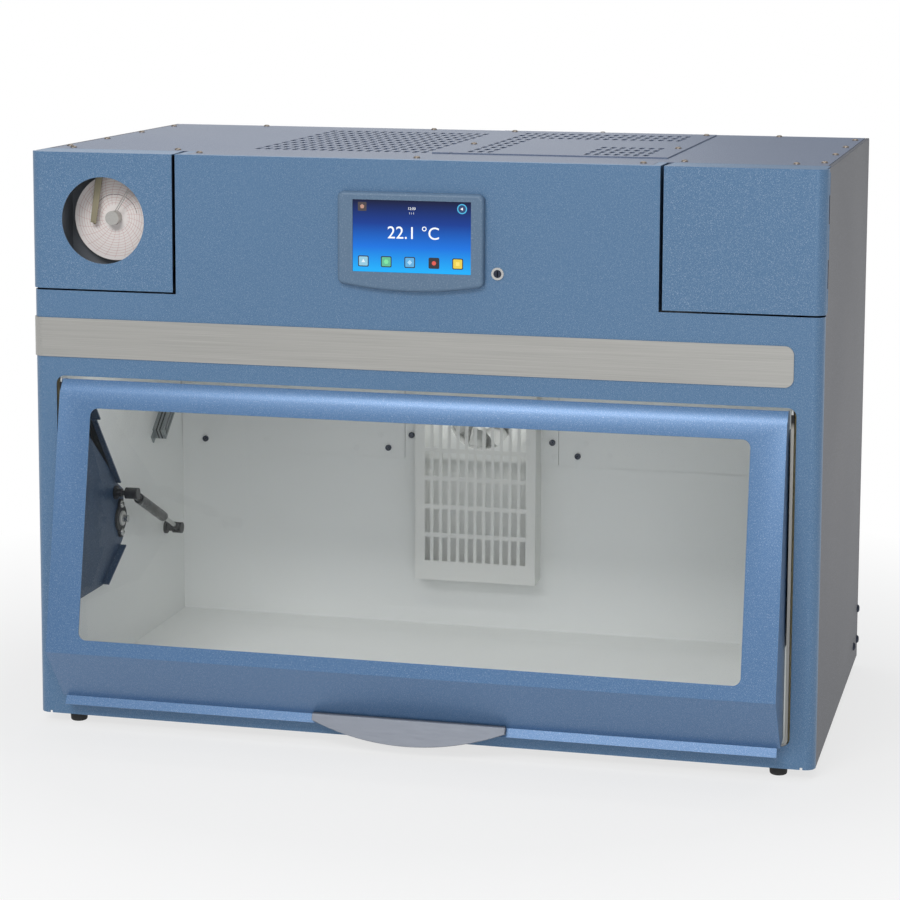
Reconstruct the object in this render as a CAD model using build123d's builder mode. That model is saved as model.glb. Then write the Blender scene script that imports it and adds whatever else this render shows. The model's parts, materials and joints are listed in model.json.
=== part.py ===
from build123d import *

# Benchtop platelet incubator: a warm chamber behind a wide window door that tilts up and in.
# Millimetres. X runs to the right, Y to the back and Z up. The sizes below count depth from the
# plane of the front sheet and height from the underside of the case; the plane functions move
# them so that the origin is on the table, under the middle of the whole object.

import os
from math import cos, radians, sin

# ---- driving dimensions -------------------------------------------------------------------
WIDTH = 914.0
DEPTH = 498.0
HEIGHT = 664.0
SHEET = 1.5
THIN = 1.2
CORNER_R = 12.7
FOOT_H = 12.0
FOOT_R = 10.5
DOOR_NOSE = -66.6
REAR_SCREWS = 2.5
HALF_W = WIDTH / 2
MID_DEPTH = (DOOR_NOSE + DEPTH + REAR_SCREWS) / 2

# front sheet
WRAP_END = 12.4
SIDE_START = 14.6
OPENING_HALF = 429.0
OPENING_LOW = 25.0
OPENING_TOP = 404.0
OPENING_R = 10.0
LOWER_TOP = 503.8
COVER_LOW = 506.0
COVER_PROUD = 1.0
TONGUE_LEFT = -281.5
TONGUE_RIGHT = 276.0
COVER_GAP = 3.5
COVER_FLANGE = 50.0
LID_NOTCH = 51.0
NOTCH_WIDTH = 10.0

# chart recorder behind its round hole
CHART_X = -369.0
CHART_Z = 586.0
CHART_R = 50.0
CHART_DEPTH = 40.0

# display, lock and accent strip
BEZEL_LEFT, BEZEL_RIGHT = -87.0, 81.0
BEZEL_LOW, BEZEL_TOP, BEZEL_CHIN = 525.0, 628.0, 517.0
BEZEL_PROUD = 9.0
SCREEN_LEFT, SCREEN_RIGHT, SCREEN_LOW, SCREEN_TOP = -69.0, 67.0, 538.5, 619.5
LOCK_X, LOCK_Z = 95.6, 540.0
STRIP_LOW, STRIP_TOP, STRIP_RIGHT = 426.3, 471.8, 425.0

# chamber
CHAMBER_HALF = 424.0
CHAMBER_FLOOR = 26.7
CHAMBER_TOP = 468.0
CHAMBER_BACK = 418.0
CHAMBER_FRONT = 3.0
TRIM_WIDTH = 3.3
PLENUM_HALF = 300.0
PLENUM_LOW, PLENUM_TOP, PLENUM_BACK = 255.0, 455.0, 468.0
UPPER_FACE = 414.0
UPPER_LOW = 245.0
PANEL_SEAMS = (-120.0, 82.0)
GRILLE_LEFT, GRILLE_RIGHT = -98.7, 58.7
GRILLE_LOW, GRILLE_TOP, GRILLE_FRONT = 93.7, 352.0, 384.0
FAN_X, FAN_Z = -20.0, 302.0
DECK_TOP = 491.0

# door, in the upright plane across its hinge
PIVOT_Y, PIVOT_Z = 165.5, 201.0
DOOR_HALF = 420.5
LIP_HALF = 416.8
DOOR_TOP = (-0.8, 400.9)
DOOR_SHOULDER = (-12.1, 386.9)
DOOR_NOSE_POINT = (DOOR_NOSE, 92.0)
DOOR_FOOT = (-13.8, 26.9)
DOOR_LIP = (-18.3, 17.2)
WINDOW_HALF = 381.5
WINDOW_START, WINDOW_END = 17.4, 283.6
WINDOW_R = 9.0
GLASS_T = 4.0
HANDLE_BEND = 3.65
HANDLE_T = 2.0
HANDLE_HALF = 113.0
HANDLE_X = -1.0
HANDLE_DROP = 28.3
HANDLE_END_DROP = 6.0
WING_OUT, WING_IN = 419.0, 417.0
PIN_R = 4.5
RUNNING = 0.05

# damper, from its stud on the wing to its stud on the chamber wall
WING_STUD = (-395.0, 151.6, 235.8)
WALL_STUD = (-407.0, 347.0, 150.9)

# lid screws and slots
SCREW_R = 3.9
SLOT = (6.0, 22.0)
SLOT_PITCH = (11.12, 34.1)


# ---- planes and small shapes --------------------------------------------------------------
def at(x, y, z):
    """A point given by place across, depth and height, moved to the object's own origin."""
    return Vector(x, y - MID_DEPTH, z + FOOT_H)


def level(height):
    """Level plane at a height: its axes are X and Y, and it faces up."""
    return Plane(origin=at(0, 0, height), x_dir=(1, 0, 0), z_dir=(0, 0, 1))


def facing(depth):
    """Upright plane across the object at a depth: its axes are X and Z, and it faces forward."""
    return Plane(origin=at(0, depth, 0), x_dir=(1, 0, 0), z_dir=(0, -1, 0))


def upright(across):
    """Upright plane from front to back: its axes are Y and Z, and it faces right."""
    return Plane(origin=at(across, 0, 0), x_dir=(0, 1, 0), z_dir=(1, 0, 0))


def rectangle(plane, low, high, radius=0.0):
    """A rectangle between two corners on a plane, with rounded corners where radius is given."""
    with BuildSketch(plane) as outline:
        with Locations(((low[0] + high[0]) / 2, (low[1] + high[1]) / 2)):
            if radius:
                RectangleRounded(high[0] - low[0], high[1] - low[1], radius)
            else:
                Rectangle(high[0] - low[0], high[1] - low[1])
    return outline.sketch


def polygon(plane, points):
    """A closed outline through a list of points on a plane."""
    with BuildSketch(plane) as outline:
        with BuildLine():
            Polyline(*points, close=True)
        make_face()
    return outline.sketch


def block(x, y, z, mode=Mode.ADD, radius=0.0):
    """Adds a box over three ranges, with upright corners rounded where radius is given."""
    base = rectangle(level(z[0]), (x[0], y[0]), (x[1], y[1]), radius)
    extrude(base, amount=z[1] - z[0], mode=mode)


def plate(x, z, front, back, radius=0.0, mode=Mode.ADD):
    """Adds an upright plate across the object, with rounded corners, between two depths."""
    face = rectangle(facing(back), (x[0], z[0]), (x[1], z[1]), radius)
    extrude(face, amount=back - front, mode=mode)


def bar(start, end, radius, mode=Mode.ADD):
    """Adds a round bar between two points."""
    run = at(*end) - at(*start)
    with BuildSketch(Plane(origin=at(*start), z_dir=run)) as section:
        Circle(radius)
    extrude(section.sketch, amount=run.length, mode=mode)


def disc(x, z, radius, front, back, mode=Mode.ADD):
    """Adds a round bar that lies front to back between two depths."""
    bar((x, back, z), (x, front, z), radius, mode)


def across(y, z, radius, start, end, mode=Mode.ADD):
    """Adds a round bar that lies across the object between two places."""
    bar((start, y, z), (end, y, z), radius, mode)


def turned(points, origin, axis):
    """Adds a solid turned about an axis, from its (radius, height) outline."""
    spin = Plane(origin=origin, x_dir=Plane(origin=origin, z_dir=axis).x_dir, z_dir=axis)
    half = Plane(origin=origin, x_dir=spin.x_dir, z_dir=-spin.y_dir)
    revolve(polygon(half, points), axis=Axis(origin, spin.z_dir))


def dome_screw(origin, axis, radius=SCREW_R, height=2.6):
    """Adds the low domed head of a screw that stands on a surface."""
    turned([(0, 0), (radius, 0), (radius, height * 0.3), (radius * 0.72, height * 0.8),
            (radius * 0.35, height), (0, height)], origin, axis)


def flat(vector):
    """The first two coordinates of a vector, as a point of a sketch."""
    return vector.X, vector.Y


def bent_sheet(points, thickness):
    """The closed outline of a bent sheet whose outer face runs through the points."""
    outer = [Vector(*point, 0) for point in points]
    runs = [(b - a).normalized() for a, b in zip(outer, outer[1:])]
    sides = [Vector(-run.Y, run.X, 0) for run in runs]
    inner = [outer[0] + sides[0] * thickness]
    for corner, before, after in zip(outer[1:], sides, sides[1:]):
        inner.append(corner + (before + after) * (thickness / (1 + before.dot(after))))
    inner.append(outer[-1] + sides[-1] * thickness)
    return [flat(point) for point in outer + inner[::-1]]


def save(piece, name):
    """Labels a finished piece and writes it to its own file."""
    piece.part.label = name
    export_step(piece.part, f"parts/{name}.step")


os.makedirs("parts", exist_ok=True)

# ---- case ---------------------------------------------------------------------------------
INNER_HALF = HALF_W - SHEET
CASE_BACK = DEPTH - SHEET
LID_LOW = HEIGHT - SHEET
LID_HALF = 451.8

with BuildPart() as base_pan:
    block((-INNER_HALF + 0.3, INNER_HALF - 0.3), (15, CASE_BACK - 0.3), (0, SHEET))
    for side in (-1, 1):
        block((side * 454 - 0.75, side * 454 + 0.75), (15, CASE_BACK - 0.3), (SHEET, 18))
    block((-OPENING_HALF, OPENING_HALF), (2, 15), (0, SHEET))
save(base_pan, "base_pan")


def wrapped_sheet(half, front, wrap_end, low, high):
    """Adds a front sheet of full width whose upright edges curve back round both corners."""
    radius = CORNER_R - front
    block((-half, half), (front, front + 60), (low, high), radius=radius)
    block((SHEET - half, half - SHEET), (front + SHEET, front + 70), (low, high),
          Mode.SUBTRACT, radius - SHEET)
    block((-half - 1, half + 1), (wrap_end, front + 80), (low, high), Mode.SUBTRACT)


with BuildPart() as front_panel:
    wrapped_sheet(HALF_W, 0, WRAP_END + 1.2, 0, LOWER_TOP)
    plate((TONGUE_LEFT, TONGUE_RIGHT), (LOWER_TOP, HEIGHT), 0, SHEET)
    block((TONGUE_LEFT, TONGUE_RIGHT), (SHEET, 12.5), (LID_LOW, HEIGHT))
    for edge, side in ((TONGUE_LEFT, 1), (TONGUE_RIGHT, -1)):
        notch = sorted((edge, edge + side * NOTCH_WIDTH))
        block(notch, (SHEET, LID_NOTCH - 0.5), (LID_LOW, HEIGHT))
        block(sorted((edge, edge + side * SHEET)), (SHEET, 40), (LOWER_TOP, LID_LOW))
    plate((-OPENING_HALF, OPENING_HALF), (OPENING_LOW, OPENING_TOP), 0, 2, OPENING_R, Mode.SUBTRACT)
    for side in (-1, 1):
        plate((side * 442 - 1.5, side * 442 + 1.5), (0, 2.5), 0, SHEET, mode=Mode.SUBTRACT)
    disc(LOCK_X, LOCK_Z, 6.1, 0, SHEET, Mode.SUBTRACT)
    plate((SCREEN_LEFT - 4, SCREEN_RIGHT + 4), (SCREEN_LOW - 4, SCREEN_TOP + 4), 0, SHEET,
          mode=Mode.SUBTRACT)
save(front_panel, "front_panel")


def side_panel(side):
    """A side sheet with its narrow flange folded in along the top."""
    outer, inner = sorted((side * HALF_W, side * INNER_HALF))
    with BuildPart() as panel:
        block((outer, inner), (SIDE_START, CASE_BACK - 0.1), (0, LID_LOW))
        block(sorted((side * HALF_W, side * 452.2)), (LID_NOTCH, DEPTH), (LID_LOW, HEIGHT))
        block((outer, inner), (SIDE_START, LID_NOTCH), (LID_LOW, HEIGHT))
    return panel


left_side_panel = side_panel(-1)
save(left_side_panel, "left_side_panel")
right_side_panel = side_panel(1)
save(right_side_panel, "right_side_panel")

# back sheet, with slots for the condenser's air and a hole for the power inlet
INLET_X, INLET_Z = 330.0, 560.0
VENT_X, VENT_Z = -120.0, 565.0
with BuildPart() as back_panel:
    plate((-HALF_W, HALF_W), (0, LID_LOW - 0.2), CASE_BACK, DEPTH)
    with BuildSketch(facing(DEPTH)) as vents:
        with Locations((VENT_X, VENT_Z)):
            with GridLocations(34, 11.5, 7, 11):
                SlotOverall(28, 5)
    extrude(vents.sketch, amount=2, mode=Mode.SUBTRACT)
    plate((INLET_X - 14, INLET_X + 14), (INLET_Z - 10, INLET_Z + 10), CASE_BACK, DEPTH,
          mode=Mode.SUBTRACT)
    plate((INLET_X - 56, INLET_X - 34), (INLET_Z - 14, INLET_Z + 14), CASE_BACK, DEPTH,
          mode=Mode.SUBTRACT)
save(back_panel, "back_panel")

# lid, with its field of slots on the left and an open window under the service panel
SERVICE_X = (-5.0, 268.0)
SERVICE_Y = (98.0, 480.0)
FIELD_X = (-221.0, -14.9)
FIELD_Y = (117.0, 424.0)


def slots(plane, places):
    """A sketch of equal air slots, long from front to back, at a list of places."""
    with BuildSketch(plane) as pattern:
        with Locations(*places):
            SlotOverall(SLOT[1], SLOT[0], rotation=90)
    return pattern.sketch


with BuildPart() as lid:
    block((-LID_HALF, LID_HALF), (LID_NOTCH, DEPTH), (LID_LOW, HEIGHT))
    block((TONGUE_LEFT + NOTCH_WIDTH + 0.5, TONGUE_RIGHT - NOTCH_WIDTH - 0.5), (13, LID_NOTCH),
          (LID_LOW, HEIGHT))
    field = [(FIELD_X[0] + 3 + i * SLOT_PITCH[0], FIELD_Y[0] + j * SLOT_PITCH[1])
             for i in range(19) for j in range(10)]
    extrude(slots(level(LID_LOW), field), amount=SHEET, mode=Mode.SUBTRACT)
    block((SERVICE_X[0] + 20, SERVICE_X[1] - 20), (SERVICE_Y[0] + 12, SERVICE_Y[1] - 32),
          (LID_LOW, HEIGHT), Mode.SUBTRACT)
save(lid, "lid")

with BuildPart() as service_panel:
    block(SERVICE_X, SERVICE_Y, (HEIGHT, HEIGHT + SHEET))
    columns = [35.5 + i * 11.33 for i in range(19)]
    rows = [429 - j * 34 for j in range(10)]
    grid = [(x, y) for j, y in enumerate(rows) for i, x in enumerate(columns)
            if j < 3 or i < 3 or (j > 5 and i > 11)]
    extrude(slots(level(HEIGHT), grid), amount=SHEET, mode=Mode.SUBTRACT)
    block((15, 19), (SERVICE_Y[0], SERVICE_Y[0] + 4), (HEIGHT, HEIGHT + SHEET), Mode.SUBTRACT)
save(service_panel, "service_panel")

SIDE_SCREWS = [(side * 444, y) for side in (-1, 1) for y in (90, 210, 330, 450)]
FRONT_SCREWS = [(x, 30) for x in (-262, -5, 252)] + [(x, 66) for x in (-430, -301, 292, 416)]
BACK_SCREWS = [(x, 486) for x in (-328, -101, 121, 346)]
SERVICE_SCREWS = [(12, 460), (258, 460), (12, 235), (258, 235)]
with BuildPart() as lid_screws:
    for x, y in SIDE_SCREWS + FRONT_SCREWS + BACK_SCREWS:
        dome_screw(at(x, y, HEIGHT), (0, 0, 1))
    for x, y in SERVICE_SCREWS:
        dome_screw(at(x, y, HEIGHT + SHEET), (0, 0, 1))
save(lid_screws, "lid_screws")

with BuildPart() as case_screws:
    for side in (-1, 1):
        for y, z in ((490, 64), (490, 24), (448, 25)):
            dome_screw(at(side * HALF_W, y, z), (side, 0, 0), 5.2, 3)
    for x in (-440, -230, 0, 230, 440):
        for z in (20, 340, 645):
            dome_screw(at(x, DEPTH, z), (0, 1, 0), 4.5, REAR_SCREWS)
save(case_screws, "case_screws")

with BuildPart() as feet:
    for x in (-415, 0, 415):
        for y in (20, 478):
            turned([(0, 0), (FOOT_R - 2.2, 0), (FOOT_R - 0.8, 1.2), (FOOT_R, FOOT_H), (0, FOOT_H)],
                   at(x, y, -FOOT_H), (0, 0, 1))
save(feet, "feet")

# accent strip, which wraps round the left corner
with BuildPart() as accent_strip:
    plate((-CORNER_R - 400, STRIP_RIGHT), (STRIP_LOW, STRIP_TOP), -SHEET, 0)
    fillet(accent_strip.edges().filter_by(Axis.Y).group_by(Axis.X)[-1], 10)
    block((-HALF_W - SHEET, -400), (-SHEET, 60), (STRIP_LOW, STRIP_TOP), radius=CORNER_R + SHEET)
    block((-HALF_W, -390), (0, 70), (STRIP_LOW, STRIP_TOP), Mode.SUBTRACT, CORNER_R)
    block((-HALF_W - 3, -380), (WRAP_END, 80), (STRIP_LOW, STRIP_TOP), Mode.SUBTRACT)
save(accent_strip, "accent_strip")

# display: a soft-edged bezel whose lower edge bows down, and the glass set into it
with BuildPart() as display_bezel:
    with BuildSketch(facing(0)) as bezel_face:
        with BuildLine():
            Line((BEZEL_LEFT, BEZEL_LOW), (BEZEL_LEFT, BEZEL_TOP))
            Line((BEZEL_LEFT, BEZEL_TOP), (BEZEL_RIGHT, BEZEL_TOP))
            Line((BEZEL_RIGHT, BEZEL_TOP), (BEZEL_RIGHT, BEZEL_LOW))
            ThreePointArc((BEZEL_RIGHT, BEZEL_LOW), ((BEZEL_LEFT + BEZEL_RIGHT) / 2, BEZEL_CHIN),
                          (BEZEL_LEFT, BEZEL_LOW))
        make_face()
        fillet(bezel_face.vertices(), 7)
    extrude(amount=BEZEL_PROUD)
    fillet(display_bezel.faces().sort_by(Axis.Y)[0].edges(), 4)
    plate((SCREEN_LEFT, SCREEN_RIGHT), (SCREEN_LOW, SCREEN_TOP), -BEZEL_PROUD, 0,
          mode=Mode.SUBTRACT)
    plate((SCREEN_LEFT - 3, SCREEN_RIGHT + 3), (SCREEN_LOW - 3, SCREEN_TOP + 3), -6, 0,
          mode=Mode.SUBTRACT)
save(display_bezel, "display_bezel")

with BuildPart() as display_glass:
    plate((SCREEN_LEFT + 0.2, SCREEN_RIGHT - 0.2), (SCREEN_LOW + 0.2, SCREEN_TOP - 0.2), -8, -6)
    plate((SCREEN_LEFT - 2.8, SCREEN_RIGHT + 2.8), (SCREEN_LOW - 2.8, SCREEN_TOP + 2.8), -6, 10)
save(display_glass, "display_glass")

# key lock
with BuildPart() as lock_body:
    disc(LOCK_X, LOCK_Z, 7, -1.6, 0)
    disc(LOCK_X, LOCK_Z, 6, 0, 24)
    disc(LOCK_X, LOCK_Z, 4.5 + RUNNING, -1.6, 22, Mode.SUBTRACT)
save(lock_body, "lock_body")

with BuildPart() as lock_plug:
    disc(LOCK_X, LOCK_Z, 4.5, -1.8, 21.5)
    plate((LOCK_X - 0.6, LOCK_X + 0.6), (LOCK_Z - 3.2, LOCK_Z + 3.2), -1.8, 12, mode=Mode.SUBTRACT)
save(lock_plug, "lock_plug")

# ---- chamber ------------------------------------------------------------------------------
LINER_OUT = CHAMBER_HALF + THIN
LINER_LOW = CHAMBER_FLOOR - THIN
LINER_TOP = CHAMBER_TOP + THIN
LINER_BACK = CHAMBER_BACK + THIN
PLENUM = (-PLENUM_HALF, PLENUM_HALF)

with BuildPart() as chamber_liner:
    block((-LINER_OUT, LINER_OUT), (CHAMBER_FRONT, LINER_BACK), (LINER_LOW, LINER_TOP))
    block((-PLENUM_HALF - THIN, PLENUM_HALF + THIN), (LINER_BACK, PLENUM_BACK + THIN),
          (PLENUM_LOW - THIN, PLENUM_TOP + THIN))
    block((-CHAMBER_HALF, CHAMBER_HALF), (0, CHAMBER_BACK), (CHAMBER_FLOOR, CHAMBER_TOP),
          Mode.SUBTRACT)
    block(PLENUM, (CHAMBER_BACK, PLENUM_BACK), (PLENUM_LOW, PLENUM_TOP), Mode.SUBTRACT)
save(chamber_liner, "chamber_liner")

# pale edging pushed over the liner's front edge, up both sides and along the floor
TRIM_IN = CHAMBER_HALF + THIN / 2 - TRIM_WIDTH / 2
TRIM_OUT = TRIM_IN + TRIM_WIDTH
TRIM_LOW = CHAMBER_FLOOR - THIN / 2 - TRIM_WIDTH / 2
with BuildPart() as opening_trim:
    plate((-TRIM_OUT, TRIM_OUT), (TRIM_LOW, 420), 1.6, 8, OPENING_R - 2)
    plate((-TRIM_IN, TRIM_IN), (TRIM_LOW + TRIM_WIDTH, 430), 1.6, 8, mode=Mode.SUBTRACT)
    plate((-440, 440), (396, 440), 1.6, 8, mode=Mode.SUBTRACT)
    block((-LINER_OUT, LINER_OUT), (CHAMBER_FRONT, 9), (LINER_LOW, LINER_TOP), Mode.SUBTRACT)
    add(chamber_liner.part, mode=Mode.SUBTRACT)
save(opening_trim, "opening_trim")

with BuildPart() as insulation:
    block((-453, 453), (15, 480), (18.5, DECK_TOP - SHEET))
    block((-LINER_OUT, LINER_OUT), (0, LINER_BACK), (LINER_LOW, LINER_TOP), Mode.SUBTRACT)
    block((-PLENUM_HALF - THIN, PLENUM_HALF + THIN), (LINER_BACK, PLENUM_BACK + THIN),
          (PLENUM_LOW - THIN, PLENUM_TOP + THIN), Mode.SUBTRACT)
save(insulation, "insulation")

with BuildPart() as equipment_deck:
    block((-453, 453), (15, 495), (DECK_TOP - SHEET, DECK_TOP))
save(equipment_deck, "equipment_deck")

# the three panels over the upper back of the chamber; the middle one carries the fan
FAN_OPENING_R = 42.0


def upper_panel(left, right):
    """One folded panel that stands a little proud of the chamber's back wall."""
    with BuildPart() as panel:
        plate((left + 0.3, right - 0.3), (UPPER_LOW, CHAMBER_TOP - 0.2), UPPER_FACE, CHAMBER_BACK)
        plate((left + 0.3 + THIN, right - 0.3 - THIN), (UPPER_LOW + THIN, CHAMBER_TOP - 1.4),
              UPPER_FACE + THIN, CHAMBER_BACK, mode=Mode.SUBTRACT)
        if left < FAN_X < right:
            disc(FAN_X, FAN_Z, FAN_OPENING_R, UPPER_FACE, CHAMBER_BACK, Mode.SUBTRACT)
    return panel


upper_left_panel = upper_panel(-CHAMBER_HALF + 0.2, PANEL_SEAMS[0])
save(upper_left_panel, "upper_left_panel")
upper_centre_panel = upper_panel(*PANEL_SEAMS)
save(upper_centre_panel, "upper_centre_panel")
upper_right_panel = upper_panel(PANEL_SEAMS[1], CHAMBER_HALF - 0.2)
save(upper_right_panel, "upper_right_panel")

PANEL_SCREWS = ((-391, 257), (-142, 257), (-111, 275), (74, 274), (107, 258), (391, 257))
with BuildPart() as panel_screws:
    for x, z in PANEL_SCREWS:
        head = at(x, UPPER_FACE, z)
        turned([(0, 0), (3.9, 0), (3.9, 2.2), (3.2, 2.8), (1.6, 2.8), (1.6, 1.2), (0, 1.2)],
               head, (0, -1, 0))
save(panel_screws, "panel_screws")

# slotted box over the fan, open at its back
GRILLE_COLUMNS = [-82.2 + i * 11.34 for i in range(12)]
GRILLE_ROWS = [133.9 + j * 36.8 for j in range(6)]
with BuildPart() as grille_box:
    with BuildSketch(upright(GRILLE_LEFT)) as side_face:
        with BuildLine():
            Polyline((GRILLE_FRONT, GRILLE_LOW), (CHAMBER_BACK, GRILLE_LOW),
                     (CHAMBER_BACK, UPPER_LOW - 0.3), (UPPER_FACE, UPPER_LOW - 0.3),
                     (UPPER_FACE, GRILLE_TOP), (GRILLE_FRONT, GRILLE_TOP), close=True)
        make_face()
    extrude(amount=GRILLE_RIGHT - GRILLE_LEFT)
    block((GRILLE_LEFT + THIN, GRILLE_RIGHT - THIN), (GRILLE_FRONT + THIN, CHAMBER_BACK),
          (GRILLE_LOW + THIN, GRILLE_TOP - THIN), Mode.SUBTRACT)
    with BuildSketch(facing(GRILLE_FRONT + 5)) as grille_slots:
        with Locations(*[(x, z) for x in GRILLE_COLUMNS for z in GRILLE_ROWS]):
            Rectangle(7.2, 31)
    extrude(amount=10, mode=Mode.SUBTRACT)
save(grille_box, "grille_box")


def fan_frame(x, z, size, hole, front, depth):
    """A square axial fan's frame, with its four spokes, its motor hub and the hub's fixed pin."""
    back = front + depth
    with BuildPart() as frame:
        plate((x - size / 2, x + size / 2), (z - size / 2, z + size / 2), front, back, 4)
        disc(x, z, hole, front, back, Mode.SUBTRACT)
        with BuildSketch(facing(back)) as spokes:
            with Locations((x, z)):
                Rectangle(2 * hole + 2, 3, rotation=45)
                Rectangle(2 * hole + 2, 3, rotation=135)
        extrude(spokes.sketch, amount=2.2)
        disc(x, z, hole * 0.4, back - 3.6, back)
        disc(x, z, 3, front + 3, back)
    return frame


def fan_rotor(x, z, hole, front, depth, blades):
    """A fan's hub with its blades, free on the frame's pin."""
    back = front + depth - 4.2
    hub = hole * 0.4
    with BuildPart() as rotor:
        disc(x, z, hub, front + 1, back)
        for number in range(blades):
            angle = 360 * number / blades
            run = Vector(cos(radians(angle)), 0, sin(radians(angle)))
            centre = at(x, (front + 1 + back) / 2, z) + run * (hub - 2)
            pitch = Vector(-run.Z, 0.7, run.X)
            with BuildSketch(Plane(origin=centre, x_dir=pitch, z_dir=run)) as blade:
                Rectangle((back - front - 2) * 1.15, 1.4)
            extrude(blade.sketch, amount=hole - hub + 0.6)
        disc(x, z, 3 + RUNNING, front + 2.5, back, Mode.SUBTRACT)
    return rotor


circulation_fan_frame = fan_frame(FAN_X, FAN_Z, 92, 43, CHAMBER_BACK + 0.5, 25)
save(circulation_fan_frame, "circulation_fan_frame")
circulation_fan_rotor = fan_rotor(FAN_X, FAN_Z, 43, CHAMBER_BACK + 0.5, 25, 7)
save(circulation_fan_rotor, "circulation_fan_rotor")

# cooling coil and heater in the space behind the upper panels
with BuildPart() as evaporator:
    for number in range(22):
        left = 60 + number * 10
        block((left, left + 1), (426, 462), (262, 448))
    for y in (435, 453):
        for z in (280, 310, 340, 370, 400, 430):
            across(y, z, 4, 55, 276)
save(evaporator, "evaporator")

with BuildPart() as heater:
    for z in (330, 360):
        across(444, z, 4, -280, -100)
    bar((-280, 444, 326), (-280, 444, 364), 4)
save(heater, "heater")

# ---- equipment above the chamber ----------------------------------------------------------
with BuildPart() as compressor:
    block((90, 190), (285, 375), (DECK_TOP, DECK_TOP + 6))
    disc_low = at(140, 330, DECK_TOP + 6)
    turned([(0, 0), (48, 0), (54, 14), (54, 88), (44, 108), (22, 118), (0, 120)], disc_low,
           (0, 0, 1))
    bar((140, 290, 540), (140, 262, 540), 5)
save(compressor, "compressor")

with BuildPart() as condenser:
    for number in range(22):
        left = VENT_X - 116 + number * 10.5
        block((left, left + 1), (446, 484), (500, 630))
    for y in (456, 474):
        for z in (515, 540, 565, 590, 615):
            across(y, z, 4, VENT_X - 120, VENT_X + 110)
    block((VENT_X - 120, VENT_X + 112), (446, 484), (DECK_TOP, 500))
save(condenser, "condenser")

condenser_fan_frame = fan_frame(VENT_X, 560, 120, 56, 405, 32)
with BuildPart() as condenser_fan_stand:
    add(condenser_fan_frame.part)
    block((VENT_X - 40, VENT_X + 40), (408, 434), (DECK_TOP, 500.5))
save(condenser_fan_stand, "condenser_fan_frame")
condenser_fan_rotor = fan_rotor(VENT_X, 560, 56, 405, 32, 7)
save(condenser_fan_rotor, "condenser_fan_rotor")

with BuildPart() as power_supply:
    block((215, 415), (385, 470), (DECK_TOP, DECK_TOP + 42), radius=3)
    block((225, 405), (380, 385), (DECK_TOP + 8, DECK_TOP + 20))
save(power_supply, "power_supply")

with BuildPart() as control_board:
    for x in (-430, -290):
        for y in (250, 430):
            bar((x, y, DECK_TOP), (x, y, DECK_TOP + 10), 3)
    block((-436, -284), (244, 436), (DECK_TOP + 10, DECK_TOP + 11.6))
    for x, y, width, high in ((-400, 280, 40, 22), (-340, 300, 24, 6), (-400, 360, 30, 12),
                              (-330, 390, 44, 30)):
        block((x - width / 2, x + width / 2), (y - 15, y + 15), (DECK_TOP + 11.6, DECK_TOP + high))
save(control_board, "control_board")

with BuildPart() as backup_battery:
    block((310, 420), (90, 190), (DECK_TOP, DECK_TOP + 65), radius=2)
    for x in (330, 400):
        block((x - 3, x + 3), (100, 112), (DECK_TOP + 65, DECK_TOP + 70))
save(backup_battery, "backup_battery")

# power inlet with its rocker switch, which tilts on a round pin
SWITCH_X = INLET_X - 45
ROCKER_Y = DEPTH - 3
with BuildPart() as power_inlet:
    plate((SWITCH_X - 14, INLET_X + 25), (INLET_Z - 16, INLET_Z + 16), DEPTH, DEPTH + 2, 4)
    plate((SWITCH_X - 10.8, SWITCH_X + 10.8), (INLET_Z - 13.8, INLET_Z + 13.8), DEPTH - 18, DEPTH)
    plate((SWITCH_X - 8, SWITCH_X + 8), (INLET_Z - 12, INLET_Z + 12), DEPTH - 14, DEPTH + 2,
          mode=Mode.SUBTRACT)
    across(ROCKER_Y, INLET_Z, 1.5, SWITCH_X - 9, SWITCH_X + 9)
    plate((INLET_X - 13.8, INLET_X + 13.8), (INLET_Z - 9.8, INLET_Z + 9.8), DEPTH - 22, DEPTH)
    plate((INLET_X - 11.8, INLET_X + 11.8), (INLET_Z - 7.8, INLET_Z + 7.8), DEPTH - 17, DEPTH + 2,
          mode=Mode.SUBTRACT)
    for x in (-7, 0, 7):
        plate((INLET_X + x - 1, INLET_X + x + 1), (INLET_Z - 2, INLET_Z + 2), DEPTH - 17, DEPTH - 2)
save(power_inlet, "power_inlet")

with BuildPart() as switch_rocker:
    with BuildSketch(upright(SWITCH_X - 7.5)) as rocker_side:
        with BuildLine():
            Polyline((ROCKER_Y - 5, INLET_Z - 7), (ROCKER_Y + 3.6, INLET_Z - 10.5),
                     (ROCKER_Y + 2.6, INLET_Z), (ROCKER_Y + 3.6, INLET_Z + 10.5),
                     (ROCKER_Y - 5, INLET_Z + 7), close=True)
        make_face()
    extrude(amount=15)
    across(ROCKER_Y, INLET_Z, 1.5 + RUNNING, SWITCH_X - 9, SWITCH_X + 9, Mode.SUBTRACT)
save(switch_rocker, "switch_rocker")

# ---- chart recorder -----------------------------------------------------------------------
CASE_HALF = 63.0
CASE_DEPTH = 60.0
HUB_R = 8.2
HUB_FRONT = 28.0
PEN_X, PEN_Z = -384.0, 641.0
PEN_TIP = (-393.0, 580.0)
PEN_DEPTH = 31.0

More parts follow.
